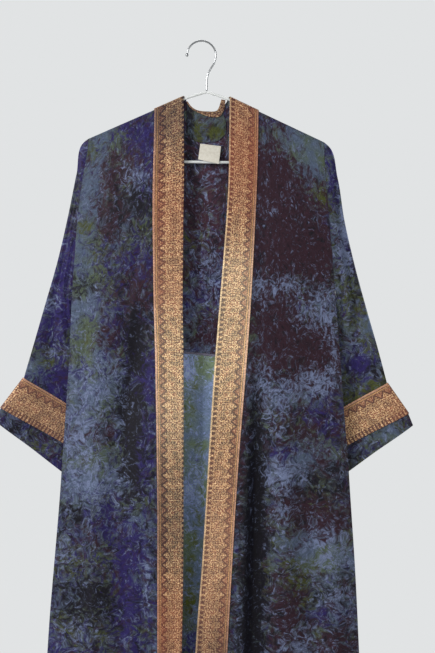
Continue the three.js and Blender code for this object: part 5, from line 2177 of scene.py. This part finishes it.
@dataclass
class Studio:
    """Camera, soft lights, pale surroundings and floor."""

    distance: float = 2.0
    view_height: float = 1.133
    centre: tuple[float, float] = (0.0343, -0.4935)
    roll_degrees: float = 0.8
    floor_drop: float = 1620
    floor_radius: float = 1400
    floor_sides: int = 96
    lit_point: tuple[float, float, float] = (0, 0, -0.55)
    surround: str = "#E1E3E4"

    def build(self) -> None:
        """Makes everything that isn't the object."""
        scene = bpy.context.scene
        data = bpy.data.cameras.new("camera")
        data.lens = data.sensor_width * self.distance / self.view_height
        camera = bpy.data.objects.new("camera", data)
        scene.collection.objects.link(camera)
        roll = math.radians(self.roll_degrees)
        right = Vector((math.cos(roll), 0, math.sin(roll)))
        up = Vector((-math.sin(roll), 0, math.cos(roll)))
        turned = Matrix((right, up, Vector((0, -1, 0)))).transposed().to_4x4()
        camera.matrix_world = Matrix.Translation((self.centre[0], -self.distance, self.centre[1])) @ turned
        scene.camera = camera
        scene.view_settings.view_transform = "Standard"
        self.light("key_light", (-2.1, -1.7, 0.7), 1.3, 62)
        self.light("fill_light", (1.9, -2.2, -0.2), 1.6, 8)
        self.light("back_light", (0.4, 2.6, 0.7), 1.8, 34)
        self.surroundings()
        self.floor()

    def light(self, name: str, where: tuple[float, float, float], size: float, power: float) -> None:
        """A square soft light that faces the middle of the robe.

        Args:
            name: the lamp's name.
            where: its place, in metres.
            size: its width, in metres.
            power: its watts.
        """
        data = bpy.data.lights.new(name, "AREA")
        data.size = size
        data.energy = power
        lamp = bpy.data.objects.new(name, data)
        bpy.context.scene.collection.objects.link(lamp)
        lamp.location = where
        lamp.rotation_euler = (Vector(self.lit_point) - Vector(where)).to_track_quat("-Z", "Y").to_euler()

    def surroundings(self) -> None:
        """Even pale light all round."""
        world = bpy.data.worlds.new("studio")
        world.use_nodes = True
        tree = world.node_tree
        tree.nodes.clear()
        ray = add_node(tree, "LightPath", output="Is Camera Ray")
        strength = add_node(tree, "MapRange", inputs={0: ray, 3: 0.5, 4: 1.0})
        sky = add_node(tree, "Background", inputs={"Color": linear(self.surround), "Strength": strength})
        add_node(tree, "OutputWorld", inputs={"Surface": sky})
        bpy.context.scene.world = world

    def floor(self) -> None:
        """A round pale floor below the hem."""
        turns = np.linspace(0, 2 * math.pi, self.floor_sides, endpoint=False)
        x, y = self.floor_radius * np.cos(turns), self.floor_radius * np.sin(turns)
        mesh = mesh_of("floor", points(x, y, self.floor_drop), [tuple(range(self.floor_sides))])
        floor = place("floor", mesh)
        floor.data.materials.append(PlainWeave("pale_matt_floor", "#E4E5E3", "#DCDDDB", 40.0, 0.9).dress())


def main() -> None:
    """Builds the robe, its hanger and the studio."""
    logging.basicConfig(level=logging.INFO, format="%(message)s")
    cut = BodyCut()
    silk = IceDyedSilk().dress()
    band_brocade = ZariBrocade("zari_brocade_band", 52, 19, 44).dress()
    cuff_brocade = ZariBrocade("zari_brocade_cuff", 66, 19, 52, hook_mm=6.5).dress()
    tape = PlainWeave("lavender_silk_tape", "#A8A3B8", "#6F6A80").dress()
    label = PlainWeave("off_white_label_satin", "#EFEADD", "#DDD6C6", 1.0, 0.5).dress()
    thread = PlainWeave("cotton_thread", "#D9D2BF", "#B8B09B").dress()
    Studio().build()
    Fronts(cut, silk, band_brocade).build()
    Back(cut, silk, tape).build()
    NeckFinish(cut, silk, band_brocade, label, thread).build()
    Sleeves(cut, silk, cuff_brocade).build()
    Hanger(cut, ChromedSteel().dress(), WhiteLacquer().dress()).build()


if __name__ == "__main__":
    main()
